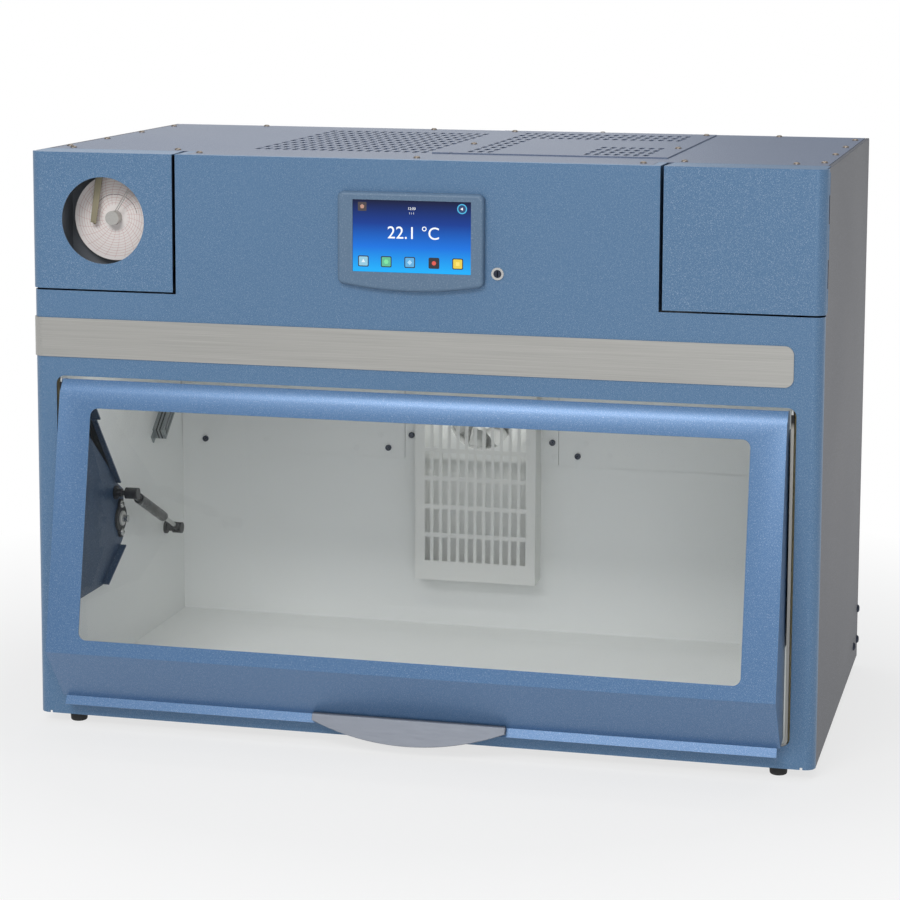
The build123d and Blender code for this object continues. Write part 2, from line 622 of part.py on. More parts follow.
with BuildPart() as recorder_case:
    plate((CHART_X - CASE_HALF, CHART_X + CASE_HALF), (CHART_Z - CASE_HALF, CHART_Z + CASE_HALF + 8),
          4, CASE_DEPTH + 2)
    plate((CHART_X - CASE_HALF + 2, CHART_X + CASE_HALF - 2),
          (CHART_Z - CASE_HALF + 2, CHART_Z + CASE_HALF + 6), 4, CASE_DEPTH, mode=Mode.SUBTRACT)
    disc(CHART_X, CHART_Z, 45, 46, CASE_DEPTH)
    disc(CHART_X, CHART_Z, 12, 42.6, 46)
    disc(CHART_X, CHART_Z, 3.2, 40, CASE_DEPTH + 2, Mode.SUBTRACT)
    disc(PEN_X, PEN_Z, 1.5, PEN_DEPTH - 2, CASE_DEPTH)
save(recorder_case, "recorder_case")

with BuildPart() as recorder_drive:
    plate((CHART_X - 24, CHART_X + 24), (CHART_Z - 24, CHART_Z + 24), CASE_DEPTH + 2, 92, 3)
    disc(CHART_X, CHART_Z, 2.5, 31, CASE_DEPTH + 2)
save(recorder_drive, "recorder_drive")

with BuildPart() as chart_paper:
    disc(CHART_X, CHART_Z, CHART_R, CHART_DEPTH, CHART_DEPTH + 0.3)
    disc(CHART_X, CHART_Z, 5.1, CHART_DEPTH, CHART_DEPTH + 0.3, Mode.SUBTRACT)
save(chart_paper, "chart_paper")

WIRE_DEPTH = 28.8
with BuildPart() as chart_hub:
    disc(CHART_X, CHART_Z, HUB_R, HUB_FRONT, CHART_DEPTH)
    disc(CHART_X, CHART_Z, 5, CHART_DEPTH, CHART_DEPTH + 0.3)
    disc(CHART_X, CHART_Z, 9.5, CHART_DEPTH + 0.3, 42.2)
    disc(CHART_X, CHART_Z, 2.5 + RUNNING, 30.5, 43, Mode.SUBTRACT)
    for shift in (-1.1, 1.1):
        start = (CHART_X + 4.0 + shift * 0.85, WIRE_DEPTH, CHART_Z + 6.6 - shift * 0.52)
        end = (CHART_X + 20.5 + shift * 0.85, WIRE_DEPTH, CHART_Z + 33.0 - shift * 0.52)
        bar(start, end, 0.5)
save(chart_hub, "chart_hub")

with BuildPart() as pen_arm:
    reach = Vector(PEN_TIP[0] - PEN_X, PEN_TIP[1] - PEN_Z)
    lean = reach.normalized()
    side = Vector(-lean.Y, lean.X)
    start = Vector(PEN_X, PEN_Z)
    end = Vector(*PEN_TIP)
    arm_face = polygon(facing(PEN_DEPTH + 0.6), [
        flat(start + side * 4.2), flat(end + side * 3.4),
        flat(end - side * 3.4), flat(start - side * 4.2)])
    extrude(arm_face, amount=1.2)
    disc(PEN_X, PEN_Z, 5, PEN_DEPTH - 0.6, PEN_DEPTH + 5)
    bar((PEN_TIP[0], PEN_DEPTH, PEN_TIP[1] + 3), (PEN_TIP[0], 36, PEN_TIP[1] - 1), 1.8)
    disc(PEN_X, PEN_Z, 1.5 + RUNNING, PEN_DEPTH - 3, PEN_DEPTH + 6, Mode.SUBTRACT)
save(pen_arm, "pen_arm")

# ---- hinged covers at both upper corners --------------------------------------------------
HINGE_X = HALF_W + 0.25
HINGE_Y = WRAP_END + 0.5
KNUCKLE_R = 1.35
HINGE_PIN_R = 0.7
KNUCKLES = ((508, 534), (566, 604), (636, 660))
BODY_KNUCKLES = ((534.5, 565.5), (604.5, 635.5))
COVER_LEFT_EDGE = TONGUE_LEFT - COVER_GAP
COVER_RIGHT_EDGE = TONGUE_RIGHT + COVER_GAP + 0.5


def corner_cover(side, free_edge):
    """A cover that wraps its corner, with a flange along the top and knuckles at the back."""
    half = HALF_W + COVER_PROUD
    with BuildPart() as cover:
        wrapped_sheet(half, -COVER_PROUD, WRAP_END, COVER_LOW, LID_LOW)
        block((-half, half), (-COVER_PROUD, 60), (LID_LOW, HEIGHT), radius=CORNER_R + COVER_PROUD)
        block((-half - 1, half + 1), (COVER_FLANGE, 70), (LID_LOW, HEIGHT), Mode.SUBTRACT)
        for edge in (-1, 1):
            block(sorted((edge * (half + 1), edge * (INNER_HALF - 0.5))), (WRAP_END, 70),
                  (LID_LOW, HEIGHT), Mode.SUBTRACT)
        cut = sorted((free_edge, -side * (half + 2)))
        block(cut, (-5, 80), (COVER_LOW - 1, HEIGHT + 1), Mode.SUBTRACT)
        set_back = polygon(level(LID_LOW), [(free_edge, 10), (free_edge + side * 4, COVER_FLANGE + 1),
                                            (free_edge, COVER_FLANGE + 1)])
        extrude(set_back, amount=SHEET, mode=Mode.SUBTRACT)
        for low, high in KNUCKLES:
            bar((side * HINGE_X, HINGE_Y, low), (side * HINGE_X, HINGE_Y, high), KNUCKLE_R)
        bar((side * HINGE_X, HINGE_Y, COVER_LOW - 2), (side * HINGE_X, HINGE_Y, LID_LOW - 1),
            HINGE_PIN_R + RUNNING, Mode.SUBTRACT)
        for low, high in BODY_KNUCKLES:
            bar((side * HINGE_X, HINGE_Y, low - 0.5), (side * HINGE_X, HINGE_Y, high + 0.5),
                KNUCKLE_R + 0.4, Mode.SUBTRACT)
    return cover


left_cover = corner_cover(-1, COVER_LEFT_EDGE)
with BuildPart() as chart_cover:
    add(left_cover.part)
    disc(CHART_X, CHART_Z, CHART_R, -2, 2, Mode.SUBTRACT)
save(chart_cover, "chart_cover")
access_cover = corner_cover(1, COVER_RIGHT_EDGE)
save(access_cover, "access_cover")

with BuildPart() as cover_hinges:
    for side in (-1, 1):
        bar((side * HINGE_X, HINGE_Y, KNUCKLES[0][0]), (side * HINGE_X, HINGE_Y, KNUCKLES[-1][1]),
            HINGE_PIN_R)
        for low, high in BODY_KNUCKLES:
            bar((side * HINGE_X, HINGE_Y, low), (side * HINGE_X, HINGE_Y, high), KNUCKLE_R)
            block(sorted((side * (HINGE_X - 0.3), side * (INNER_HALF - 0.6))),
                  (HINGE_Y + 0.1, SIDE_START - 0.3), (low, high))
        block(sorted((side * (INNER_HALF - 0.1), side * (INNER_HALF - 0.7))), (HINGE_Y + 0.5, 32),
              (BODY_KNUCKLES[0][0], BODY_KNUCKLES[-1][1]))
save(cover_hinges, "cover_hinges")

# ---- door ---------------------------------------------------------------------------------
SLOPE = Vector(DOOR_NOSE_POINT[0] - DOOR_SHOULDER[0], DOOR_NOSE_POINT[1] - DOOR_SHOULDER[1])
SLOPE_RUN = SLOPE.normalized()
face_origin = at(0, *DOOR_SHOULDER)
FACE_OUT = Vector(0, SLOPE_RUN.Y, -SLOPE_RUN.X)


def face_plane(behind):
    """Plane along the door's slanted face, a distance behind it: x is X and y runs upward."""
    return Plane(origin=face_origin - FACE_OUT * behind, x_dir=(1, 0, 0), z_dir=FACE_OUT)


def on_face(behind, thickness, half, start, end, radius, mode=Mode.ADD):
    """Adds a slanted plate behind the door's face, between two distances down from its top."""
    outline = rectangle(face_plane(behind + thickness), (-half, -end), (half, -start), radius)
    extrude(outline, amount=thickness, mode=mode)


SKIN = [DOOR_TOP, DOOR_SHOULDER, DOOR_NOSE_POINT, DOOR_FOOT]
with BuildPart() as door_panel:
    extrude(polygon(upright(0), bent_sheet(SKIN, SHEET)), amount=DOOR_HALF, both=True)
    lip = polygon(upright(0), bent_sheet(SKIN[2:] + [DOOR_LIP], SHEET))
    extrude(lip, amount=LIP_HALF, both=True)
    for side in (-1, 1):
        cheek = polygon(upright(min(side * DOOR_HALF, side * (DOOR_HALF - SHEET))),
                        SKIN + [(-2, 29.5), (12, 32), (12, 399)])
        extrude(cheek, amount=SHEET)
    on_face(-1, 6, WINDOW_HALF, WINDOW_START, WINDOW_END, WINDOW_R, Mode.SUBTRACT)
save(door_panel, "door_panel")

SEAL_T = 1.0
GLASS_MARGIN = 12.0
glass_half = WINDOW_HALF + GLASS_MARGIN
with BuildPart() as door_window:
    on_face(SHEET + SEAL_T, GLASS_T, glass_half, WINDOW_START - 11, WINDOW_END + 11, 4)
save(door_window, "door_window")

with BuildPart() as window_seal:
    on_face(SHEET, SEAL_T, glass_half, WINDOW_START - 11, WINDOW_END + 11, 4)
    on_face(SHEET - 1, SEAL_T + 2, WINDOW_HALF + 0.5, WINDOW_START - 0.5, WINDOW_END + 0.5,
            WINDOW_R, Mode.SUBTRACT)
save(window_seal, "window_seal")

# crescent handle: a plate folded back on itself along its straight top, with its short leaf on
# the door's lip and its long leaf bowed along the lower edge
lip_down = Vector(DOOR_LIP[0] - DOOR_FOOT[0], DOOR_LIP[1] - DOOR_FOOT[1]).normalized()
lip_out = Vector(lip_down.Y, -lip_down.X)
fold_centre = Vector(*DOOR_FOOT) + lip_down * 2.4 + lip_out * (HANDLE_BEND + 0.02)


def fold_point(outward, downward):
    """A point of the handle's section, measured from the centre of its fold."""
    return flat(fold_centre + lip_out * outward + lip_down * downward)


INNER_BEND = HANDLE_BEND - HANDLE_T
HANDLE_LEAF = 6.0
with BuildPart() as door_handle:
    with BuildSketch(upright(HANDLE_X)) as fold:
        with BuildLine():
            ThreePointArc(fold_point(-HANDLE_BEND, 0), fold_point(0, -HANDLE_BEND),
                          fold_point(HANDLE_BEND, 0))
            Line(fold_point(HANDLE_BEND, 0), fold_point(INNER_BEND, 0))
            ThreePointArc(fold_point(INNER_BEND, 0), fold_point(0, -INNER_BEND),
                          fold_point(-INNER_BEND, 0))
            Polyline(fold_point(-INNER_BEND, 0), fold_point(-INNER_BEND, HANDLE_LEAF),
                     fold_point(-HANDLE_BEND, HANDLE_LEAF), fold_point(-HANDLE_BEND, 0))
        make_face()
    extrude(amount=HANDLE_HALF, both=True)
    plate_low = Vector(*fold_point(INNER_BEND, 0))
    face = Vector(0, lip_out.X, lip_out.Y)
    face_low = Plane(origin=at(HANDLE_X, *flat(plate_low)), x_dir=(1, 0, 0), z_dir=face)
    with BuildSketch(face_low) as crescent:
        with BuildLine():
            Line((-HANDLE_HALF, 0), (HANDLE_HALF, 0))
            Line((HANDLE_HALF, 0), (HANDLE_HALF, -HANDLE_END_DROP))
            ThreePointArc((HANDLE_HALF, -HANDLE_END_DROP), (0, -HANDLE_DROP),
                          (-HANDLE_HALF, -HANDLE_END_DROP))
            Line((-HANDLE_HALF, -HANDLE_END_DROP), (-HANDLE_HALF, 0))
        make_face()
    extrude(amount=HANDLE_T)
save(door_handle, "door_handle")

# wings that hang the door on its pivots
WING = [(4, 131), (4, 372), (50.4, 372), (77.7, 339.8), (147.1, 258.1), (156, 247.6),
        (179.6, 234.2), (177, 175), (167.1, 166.8), (105.6, 130.6)]
FOLD_RELIEF = 1.2


def fold_along(side, start, end, width, thickness=2.0):
    """Adds a flange of a wing, folded toward the middle of the door along one of its edges."""
    root = side * WING_OUT
    tip = side * (WING_OUT - width)
    run = Vector(end[0] - start[0], end[1] - start[1]).normalized()
    first = Vector(*start) + run * FOLD_RELIEF
    last = Vector(*end) - run * FOLD_RELIEF
    inward = Vector(run.Y, -run.X) * thickness
    corners = [flat(point) for point in (first, last, last + inward, first + inward)]
    extrude(polygon(upright(min(root, tip)), corners), amount=width)


def wing(side):
    """A flat plate with folded edges that reaches back from the door's cheek to its pivot."""
    with BuildPart() as plate_part:
        outline = polygon(upright(min(side * WING_OUT, side * WING_IN)), WING)
        extrude(outline, amount=WING_OUT - WING_IN)
        fold_along(side, WING[2], WING[3], 13.7)
        fold_along(side, WING[3], WING[5], 8.5)
        fold_along(side, WING[8], WING[9], 10)
        across(PIVOT_Y, PIVOT_Z, PIN_R + 3, side * 420, side * 410, Mode.SUBTRACT)
    return plate_part


left_wing = wing(-1)
save(left_wing, "left_wing")
right_wing = wing(1)
save(right_wing, "right_wing")

BEARING_FACE = 414.0
with BuildPart() as door_bearings:
    for side in (-1, 1):
        with BuildSketch(upright(min(side * WING_IN, side * BEARING_FACE))) as flange:
            with Locations((PIVOT_Y, PIVOT_Z)):
                Circle(16.5)
            with Locations((PIVOT_Y, PIVOT_Z + 17.4), (PIVOT_Y, PIVOT_Z - 17.4)):
                Circle(6.6)
            with Locations((PIVOT_Y, PIVOT_Z)):
                Rectangle(13.2, 34.8)
        extrude(flange.sketch, amount=WING_IN - BEARING_FACE)
        across(PIVOT_Y, PIVOT_Z, PIN_R + 2.8, side * (WING_OUT - 0.1), side * WING_IN)
        across(PIVOT_Y, PIVOT_Z, 7, side * 420, side * 410, Mode.SUBTRACT)
save(door_bearings, "door_bearings")

with BuildPart() as bearing_bushes:
    for side in (-1, 1):
        across(PIVOT_Y, PIVOT_Z, 7, side * (WING_OUT - 0.1), side * BEARING_FACE)
        across(PIVOT_Y, PIVOT_Z, 9, side * BEARING_FACE, side * (BEARING_FACE - 2))
        across(PIVOT_Y, PIVOT_Z, PIN_R + RUNNING, side * 420, side * 410, Mode.SUBTRACT)
save(bearing_bushes, "bearing_bushes")

with BuildPart() as bearing_screws:
    for side in (-1, 1):
        for shift in (-17.4, 17.4):
            dome_screw(at(side * BEARING_FACE, PIVOT_Y, PIVOT_Z + shift), (-side, 0, 0), 4.6, 2.6)
save(bearing_screws, "bearing_screws")

with BuildPart() as pivot_pins:
    for side in (-1, 1):
        across(PIVOT_Y, PIVOT_Z, PIN_R, side * CHAMBER_HALF, side * 406)
        across(PIVOT_Y, PIVOT_Z, 9, side * CHAMBER_HALF, side * (CHAMBER_HALF - 3))
save(pivot_pins, "pivot_pins")

# ---- damper: cylinder on the wing's side, rod on the wall's side --------------------------
wing_ball = at(*WING_STUD)
wall_ball = at(*WALL_STUD)
strut = (wing_ball - wall_ball).normalized()
STRUT_LENGTH = (wing_ball - wall_ball).length
CYLINDER_R = 6.4
ROD_R = 2.85
SOCKET_R = 7.0
BALL_R = 5.0
SOCKET_PLAY = 0.3
STUD_NECK_R = 3.0
ROD_NECK = 196.0


def along(distance):
    """A point on the damper's line, measured from its stud on the wing."""
    return wing_ball - strut * distance


def strut_bar(start, end, radius, mode=Mode.ADD):
    """Adds a round bar along the damper's line between two distances from the wing's stud."""
    with BuildSketch(Plane(origin=along(start), z_dir=-strut)) as section:
        Circle(radius)
    extrude(section.sketch, amount=end - start, mode=mode)


def socket(centre, half_width):
    """Adds the round socket at one end of the damper, whose axis lies across the object."""
    with BuildSketch(Plane(origin=centre - Vector(half_width, 0, 0), z_dir=(1, 0, 0))) as ring:
        Circle(SOCKET_R)
    extrude(ring.sketch, amount=2 * half_width)


def ball(centre, radius, mode=Mode.ADD):
    """Adds a ball round a point."""
    with Locations(centre):
        Sphere(radius, mode=mode)


with BuildPart() as damper_cylinder:
    socket(wing_ball, 8)
    strut_bar(0, 29, 4.2)
    strut_bar(29, 141, CYLINDER_R)
    strut_bar(60, 142, ROD_R + RUNNING, Mode.SUBTRACT)
save(damper_cylinder, "damper_cylinder")

with BuildPart() as damper_rod:
    socket(wall_ball, 6)
    strut_bar(134, STRUT_LENGTH, ROD_R)
    strut_bar(ROD_NECK, STRUT_LENGTH, 4.2)
    ball(wall_ball, BALL_R + SOCKET_PLAY, Mode.SUBTRACT)
    across(WALL_STUD[1], WALL_STUD[2], STUD_NECK_R + 2 * SOCKET_PLAY, -416, WALL_STUD[0],
           Mode.SUBTRACT)
save(damper_rod, "damper_rod")

with BuildPart() as wing_stud:
    across(WING_STUD[1], WING_STUD[2], 8.5, -417, -414.5)
    across(WING_STUD[1], WING_STUD[2], 5, -414.5, -408)
    across(WING_STUD[1], WING_STUD[2], 3, -408, -403.7)
save(wing_stud, "wing_stud")

with BuildPart() as wall_stud:
    across(WALL_STUD[1], WALL_STUD[2], 8.5, -CHAMBER_HALF, -421)
    across(WALL_STUD[1], WALL_STUD[2], 5, -421, -413.6)
    across(WALL_STUD[1], WALL_STUD[2], STUD_NECK_R, -413.6, WALL_STUD[0])
    ball(wall_ball, BALL_R)
save(wall_stud, "wall_stud")

# catch that holds the raised door: stacked plates in a folded housing on the left wall
lift = Vector(0.763, 0.647)
outward = Vector(-0.647, 0.763)
CATCH_FACE = Vector(320.4, 302.45) - outward * 0.5


def catch_outline(start, end, top, low):
    """An outline along the catch's face, between two depths under it."""
    corners = ((start, top), (end, top), (end, low), (start, low))
    return [flat(CATCH_FACE + lift * s - outward * d) for s, d in corners]


with BuildPart() as magnetic_catch:
    left = -CHAMBER_HALF
    extrude(polygon(upright(left), catch_outline(-24, 24, 0, 17)), amount=14.5)
    for depth in (3.4, 10.1):
        groove = polygon(upright(left + 12.5), catch_outline(-20, 20, depth, depth + 3.4))
        extrude(groove, amount=2, mode=Mode.SUBTRACT)
    for start in (-34, 24):
        extrude(polygon(upright(left), catch_outline(start, start + 10, 3, 14)), amount=1.6)
save(magnetic_catch, "magnetic_catch")
print("middle depth", MID_DEPTH, "height shift", FOOT_H)
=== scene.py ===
"""Looks of a benchtop platelet incubator, built round its packed construction model.

The construction model gives every carried-over part its place. This script dresses those parts
in procedural finishes, replaces the ones whose edges need a bend radius or a machined recess,
adds the printed chart, the lit display and the small trim, and sets up camera, lamps and floor.
"""
from __future__ import annotations

import json
import logging
import math
from dataclasses import dataclass, field
from enum import Enum
from typing import Callable, Iterable, Sequence

import bmesh
import bpy
from mathutils import Matrix, Vector

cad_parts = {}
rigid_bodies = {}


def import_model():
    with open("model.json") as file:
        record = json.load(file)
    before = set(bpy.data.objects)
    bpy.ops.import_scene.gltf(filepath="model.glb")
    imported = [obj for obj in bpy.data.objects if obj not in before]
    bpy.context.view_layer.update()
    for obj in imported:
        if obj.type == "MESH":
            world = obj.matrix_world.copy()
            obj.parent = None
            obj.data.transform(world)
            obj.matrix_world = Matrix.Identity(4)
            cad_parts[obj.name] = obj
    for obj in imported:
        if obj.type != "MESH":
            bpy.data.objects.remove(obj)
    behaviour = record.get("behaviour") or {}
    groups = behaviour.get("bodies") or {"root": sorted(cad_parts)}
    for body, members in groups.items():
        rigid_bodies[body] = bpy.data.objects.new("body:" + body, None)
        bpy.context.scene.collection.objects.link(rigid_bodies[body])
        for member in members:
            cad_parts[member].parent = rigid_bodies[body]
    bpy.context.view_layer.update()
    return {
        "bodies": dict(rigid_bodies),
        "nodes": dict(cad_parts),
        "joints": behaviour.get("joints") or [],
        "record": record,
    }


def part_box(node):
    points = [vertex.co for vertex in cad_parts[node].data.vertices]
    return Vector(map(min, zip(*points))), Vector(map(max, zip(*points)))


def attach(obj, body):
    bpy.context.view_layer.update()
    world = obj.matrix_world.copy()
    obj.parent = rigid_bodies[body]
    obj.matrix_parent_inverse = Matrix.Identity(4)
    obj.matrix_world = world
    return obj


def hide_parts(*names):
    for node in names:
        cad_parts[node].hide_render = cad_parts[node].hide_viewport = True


LOG = logging.getLogger("incubator")
MM = 0.001
Colour = tuple[float, float, float]
Box = tuple[Vector, Vector]


# ---------------------------------------------------------------------------------------------
# Small tools for meshes and nodes
# ---------------------------------------------------------------------------------------------
def srgb(red: int, green: int, blue: int) -> Colour:
    """Turns a colour as it is seen on a screen into the linear values that shaders use.

    Args:
        red: Red from 0 to 255.
        green: Green from 0 to 255.
        blue: Blue from 0 to 255.

    Returns:
        The linear colour.
    """
    def linear(value: int) -> float:
        """Returns one linear channel."""
        share = value / 255
        return share / 12.92 if share <= 0.04045 else ((share + 0.055) / 1.055) ** 2.4

    return linear(red), linear(green), linear(blue)


def new_object(name: str, mesh: bpy.types.Mesh) -> bpy.types.Object:
    """Puts a mesh in the scene as an object at the origin.

    Args:
        name: The object's name.
        mesh: Its mesh, with its place in its vertices.

    Returns:
        The new object.
    """
    made = bpy.data.objects.new(name, mesh)
    bpy.context.scene.collection.objects.link(made)
    return made


def mesh_from(name: str, build: Callable[[bmesh.types.BMesh], None]) -> bpy.types.Mesh:
    """Makes a mesh by running a function on an empty edit mesh.

    Args:
        name: The mesh's name.
        build: The function that fills the edit mesh.

    Returns:
        The finished mesh.
    """
    edit = bmesh.new()
    build(edit)
    mesh = bpy.data.meshes.new(name)
    edit.to_mesh(mesh)
    edit.free()
    return mesh


def mark_smooth(mesh: bpy.types.Mesh, limit_deg: float = 32.0) -> None:
    """Shades a mesh smooth, apart from edges that turn by more than a limit.

    Args:
        mesh: The mesh to shade.
        limit_deg: The largest turn, in degrees, that is still smooth.
    """
    edit = bmesh.new()
    edit.from_mesh(mesh)
    for face in edit.faces:
        face.smooth = True
    for edge in edit.edges:
        edge.smooth = len(edge.link_faces) == 2 and edge.calc_face_angle(0) < math.radians(limit_deg)
    edit.to_mesh(mesh)
    edit.free()


def evaluated_mesh(piece: bpy.types.Object) -> bpy.types.Mesh:
    """Returns a plain mesh of an object with its modifiers applied."""
    graph = bpy.context.evaluated_depsgraph_get()
    return bpy.data.meshes.new_from_object(piece.evaluated_get(graph), depsgraph=graph)


def bake_modifiers(piece: bpy.types.Object) -> None:
    """Applies an object's modifiers to its mesh and removes them.

    Args:
        piece: The object, whose mesh is replaced.
    """
    bpy.context.view_layer.update()
    mesh = evaluated_mesh(piece)
    piece.modifiers.clear()
    piece.data = mesh


@dataclass
class Board:
    """A node tree that is being wired up."""

    tree: bpy.types.NodeTree

    def add(self, kind: str, **settings: object) -> bpy.types.Node:
        """Adds a node and sets its properties.

        Args:
            kind: The node's type name.
            settings: Properties, or input values for names that are inputs.

        Returns:
            The new node.
        """
        node = self.tree.nodes.new(kind)
        for name, value in settings.items():
            if hasattr(node, name):
                setattr(node, name, value)
            else:
                node.inputs[name.replace("_", " ")].default_value = value
        return node

    def link(self, source: bpy.types.NodeSocket, target: bpy.types.NodeSocket) -> None:
        """Joins an output to an input."""
        self.tree.links.new(source, target)

    def math(self, operation: str, first: object, second: object = 0.0,
             third: object = 0.0) -> bpy.types.NodeSocket:
        """Adds a Math node whose inputs are sockets or numbers.

        Args:
            operation: The operation's name.
            first: First value.
            second: Second value.
            third: Third value, for operations that take one.

        Returns:
            The node's output.
        """
        node = self.add("ShaderNodeMath", operation=operation)
        for place, value in enumerate((first, second, third)):
            if isinstance(value, bpy.types.NodeSocket):
                self.link(value, node.inputs[place])
            else:
                node.inputs[place].default_value = float(value)
        return node.outputs[0]

    def blend(self, share: object, first: object, second: object) -> bpy.types.NodeSocket:
        """Adds a colour mix of two colours or sockets.

        Args:
            share: How much of the second colour shows, a number or a socket.
            first: First colour or socket.
            second: Second colour or socket.

        Returns:
            The mixed colour.
        """
        node = self.add("ShaderNodeMix", data_type="RGBA")
        for place, value in ((0, share), (6, first), (7, second)):
            if isinstance(value, bpy.types.NodeSocket):
                self.link(value, node.inputs[place])
            elif place:
                node.inputs[place].default_value = (*value, 1.0)
            else:
                node.inputs[place].default_value = float(value)
        return node.outputs[2]


class Effects:
    """Shader node groups that several finishes share, each built once."""

    _built: dict[str, bpy.types.NodeTree] = {}

    @classmethod
    def _group(cls, name: str, inputs: Sequence[tuple[str, str, object]],
               outputs: Sequence[tuple[str, str]]) -> tuple[Board, bpy.types.Node, bpy.types.Node]:
        """Starts a group with named sockets.

        Args:
            name: The group's name.
            inputs: Name, socket type and default value of each input.
            outputs: Name and socket type of each output.

        Returns:
            The board, the group's input node and its output node.
        """
        tree = bpy.data.node_groups.new(name, "ShaderNodeTree")
        for title, kind, value in inputs:
            socket = tree.interface.new_socket(title, in_out="INPUT", socket_type=kind)
            socket.default_value = value
        for title, kind in outputs:
            tree.interface.new_socket(title, in_out="OUTPUT", socket_type=kind)
        board = Board(tree)
        cls._built[name] = tree
        return board, board.add("NodeGroupInput"), board.add("NodeGroupOutput")

    @classmethod
    def speckle(cls) -> bpy.types.NodeTree:
        """Powder coat: bright flakes, a fine orange peel and slow drifts of tone.

        Returns:
            The node group.
        """
        if "powder_speckle" in cls._built:
            return cls._built["powder_speckle"]
        colour, number = "NodeSocketColor", "NodeSocketFloat"
        board, given, made = cls._group(
            "powder_speckle",
            [("Paint", colour, (0.2, 0.2, 0.2, 1)), ("Flake", number, 0.2), ("Grain Scale", number, 900)],
            [("Color", colour), ("Roughness Drift", number), ("Height", number)])
        place = board.add("ShaderNodeTexCoord").outputs["Object"]
        grain = board.add("ShaderNodeTexNoise", Detail=1.0)
        drift = board.add("ShaderNodeTexNoise", Scale=2.3, Detail=3.0)
        for texture in (grain, drift):
            board.link(place, texture.inputs["Vector"])
        board.link(given.outputs["Grain Scale"], grain.inputs["Scale"])
        spark = board.math("SMOOTH_MIN", board.math("MULTIPLY", board.math(
            "MAXIMUM", board.math("SUBTRACT", grain.outputs["Fac"], 0.56), 0), 5), 1, 0.1)
        share = board.math("MULTIPLY", spark, given.outputs["Flake"])
        bright = board.blend(share, given.outputs["Paint"], (0.75, 0.86, 1.0))
        shade = board.math("MULTIPLY_ADD", drift.outputs["Fac"], 0.16, 0.92)
        toned = board.add("ShaderNodeVectorMath", operation="SCALE")
        board.link(bright, toned.inputs[0])
        board.link(shade, toned.inputs["Scale"])
        board.link(toned.outputs[0], made.inputs["Color"])
        board.link(board.math("MULTIPLY_ADD", drift.outputs["Fac"], 0.12, -0.06),
                   made.inputs["Roughness Drift"])
        board.link(grain.outputs["Fac"], made.inputs["Height"])
        return board.tree

    @classmethod
    def brushing(cls) -> bpy.types.NodeTree:
        """Brushed metal: long fine scratches, stretched by the scale that is given.

        Returns:
            The node group.
        """
        if "brushed_grain" in cls._built:
            return cls._built["brushed_grain"]
        colour, number = "NodeSocketColor", "NodeSocketFloat"
        board, given, made = cls._group(
            "brushed_grain",
            [("Metal", colour, (0.5, 0.5, 0.5, 1)), ("Stretch", "NodeSocketVector", (8, 900, 900)),
             ("Contrast", number, 0.3)],
            [("Color", colour), ("Roughness", number), ("Height", number)])
        place = board.add("ShaderNodeTexCoord").outputs["Object"]
        scaled = board.add("ShaderNodeVectorMath", operation="MULTIPLY")
        board.link(place, scaled.inputs[0])
        board.link(given.outputs["Stretch"], scaled.inputs[1])
        streak = board.add("ShaderNodeTexNoise", Scale=1.0, Detail=4.0, Roughness=0.7)
        board.link(scaled.outputs[0], streak.inputs["Vector"])
        level = board.math("SUBTRACT", streak.outputs["Fac"], 0.5)
        gain = board.math("MULTIPLY_ADD", board.math("MULTIPLY", level, given.outputs["Contrast"]),
                          2.0, 1.0)
        toned = board.add("ShaderNodeVectorMath", operation="SCALE")
        board.link(given.outputs["Metal"], toned.inputs[0])
        board.link(gain, toned.inputs["Scale"])
        board.link(toned.outputs[0], made.inputs["Color"])
        board.link(board.math("MULTIPLY_ADD", level, 0.3, 0.36), made.inputs["Roughness"])
        board.link(streak.outputs["Fac"], made.inputs["Height"])
        return board.tree

    @classmethod
    def moulding(cls) -> bpy.types.NodeTree:
        """Moulded or sprayed plastic: a pebbled skin and a little dust in its tone.

        Returns:
            The node group.
        """
        if "moulded_skin" in cls._built:
            return cls._built["moulded_skin"]
        colour, number = "NodeSocketColor", "NodeSocketFloat"
        board, given, made = cls._group(
            "moulded_skin",
            [("Plastic", colour, (0.1, 0.1, 0.1, 1)), ("Grain Scale", number, 700),
             ("Dust", number, 0.05)],
            [("Color", colour), ("Roughness Drift", number), ("Height", number)])
        place = board.add("ShaderNodeTexCoord").outputs["Object"]
        pebble = board.add("ShaderNodeTexVoronoi", feature="SMOOTH_F1", Smoothness=0.6)
        dust = board.add("ShaderNodeTexNoise", Scale=35.0, Detail=4.0)
        for texture in (pebble, dust):
            board.link(place, texture.inputs["Vector"])
        board.link(given.outputs["Grain Scale"], pebble.inputs["Scale"])
        share = board.math("MULTIPLY", dust.outputs["Fac"], given.outputs["Dust"])
        board.link(board.blend(share, given.outputs["Plastic"], (0.6, 0.6, 0.58)),
                   made.inputs["Color"])
        board.link(board.math("MULTIPLY_ADD", dust.outputs["Fac"], 0.2, -0.1),
                   made.inputs["Roughness Drift"])
        board.link(pebble.outputs["Distance"], made.inputs["Height"])
        return board.tree


class Grain(Enum):
    """The surface effects that a finish can carry."""

    SPECKLE = "speckle"
    BRUSHING = "brushing"
    MOULDING = "moulding"


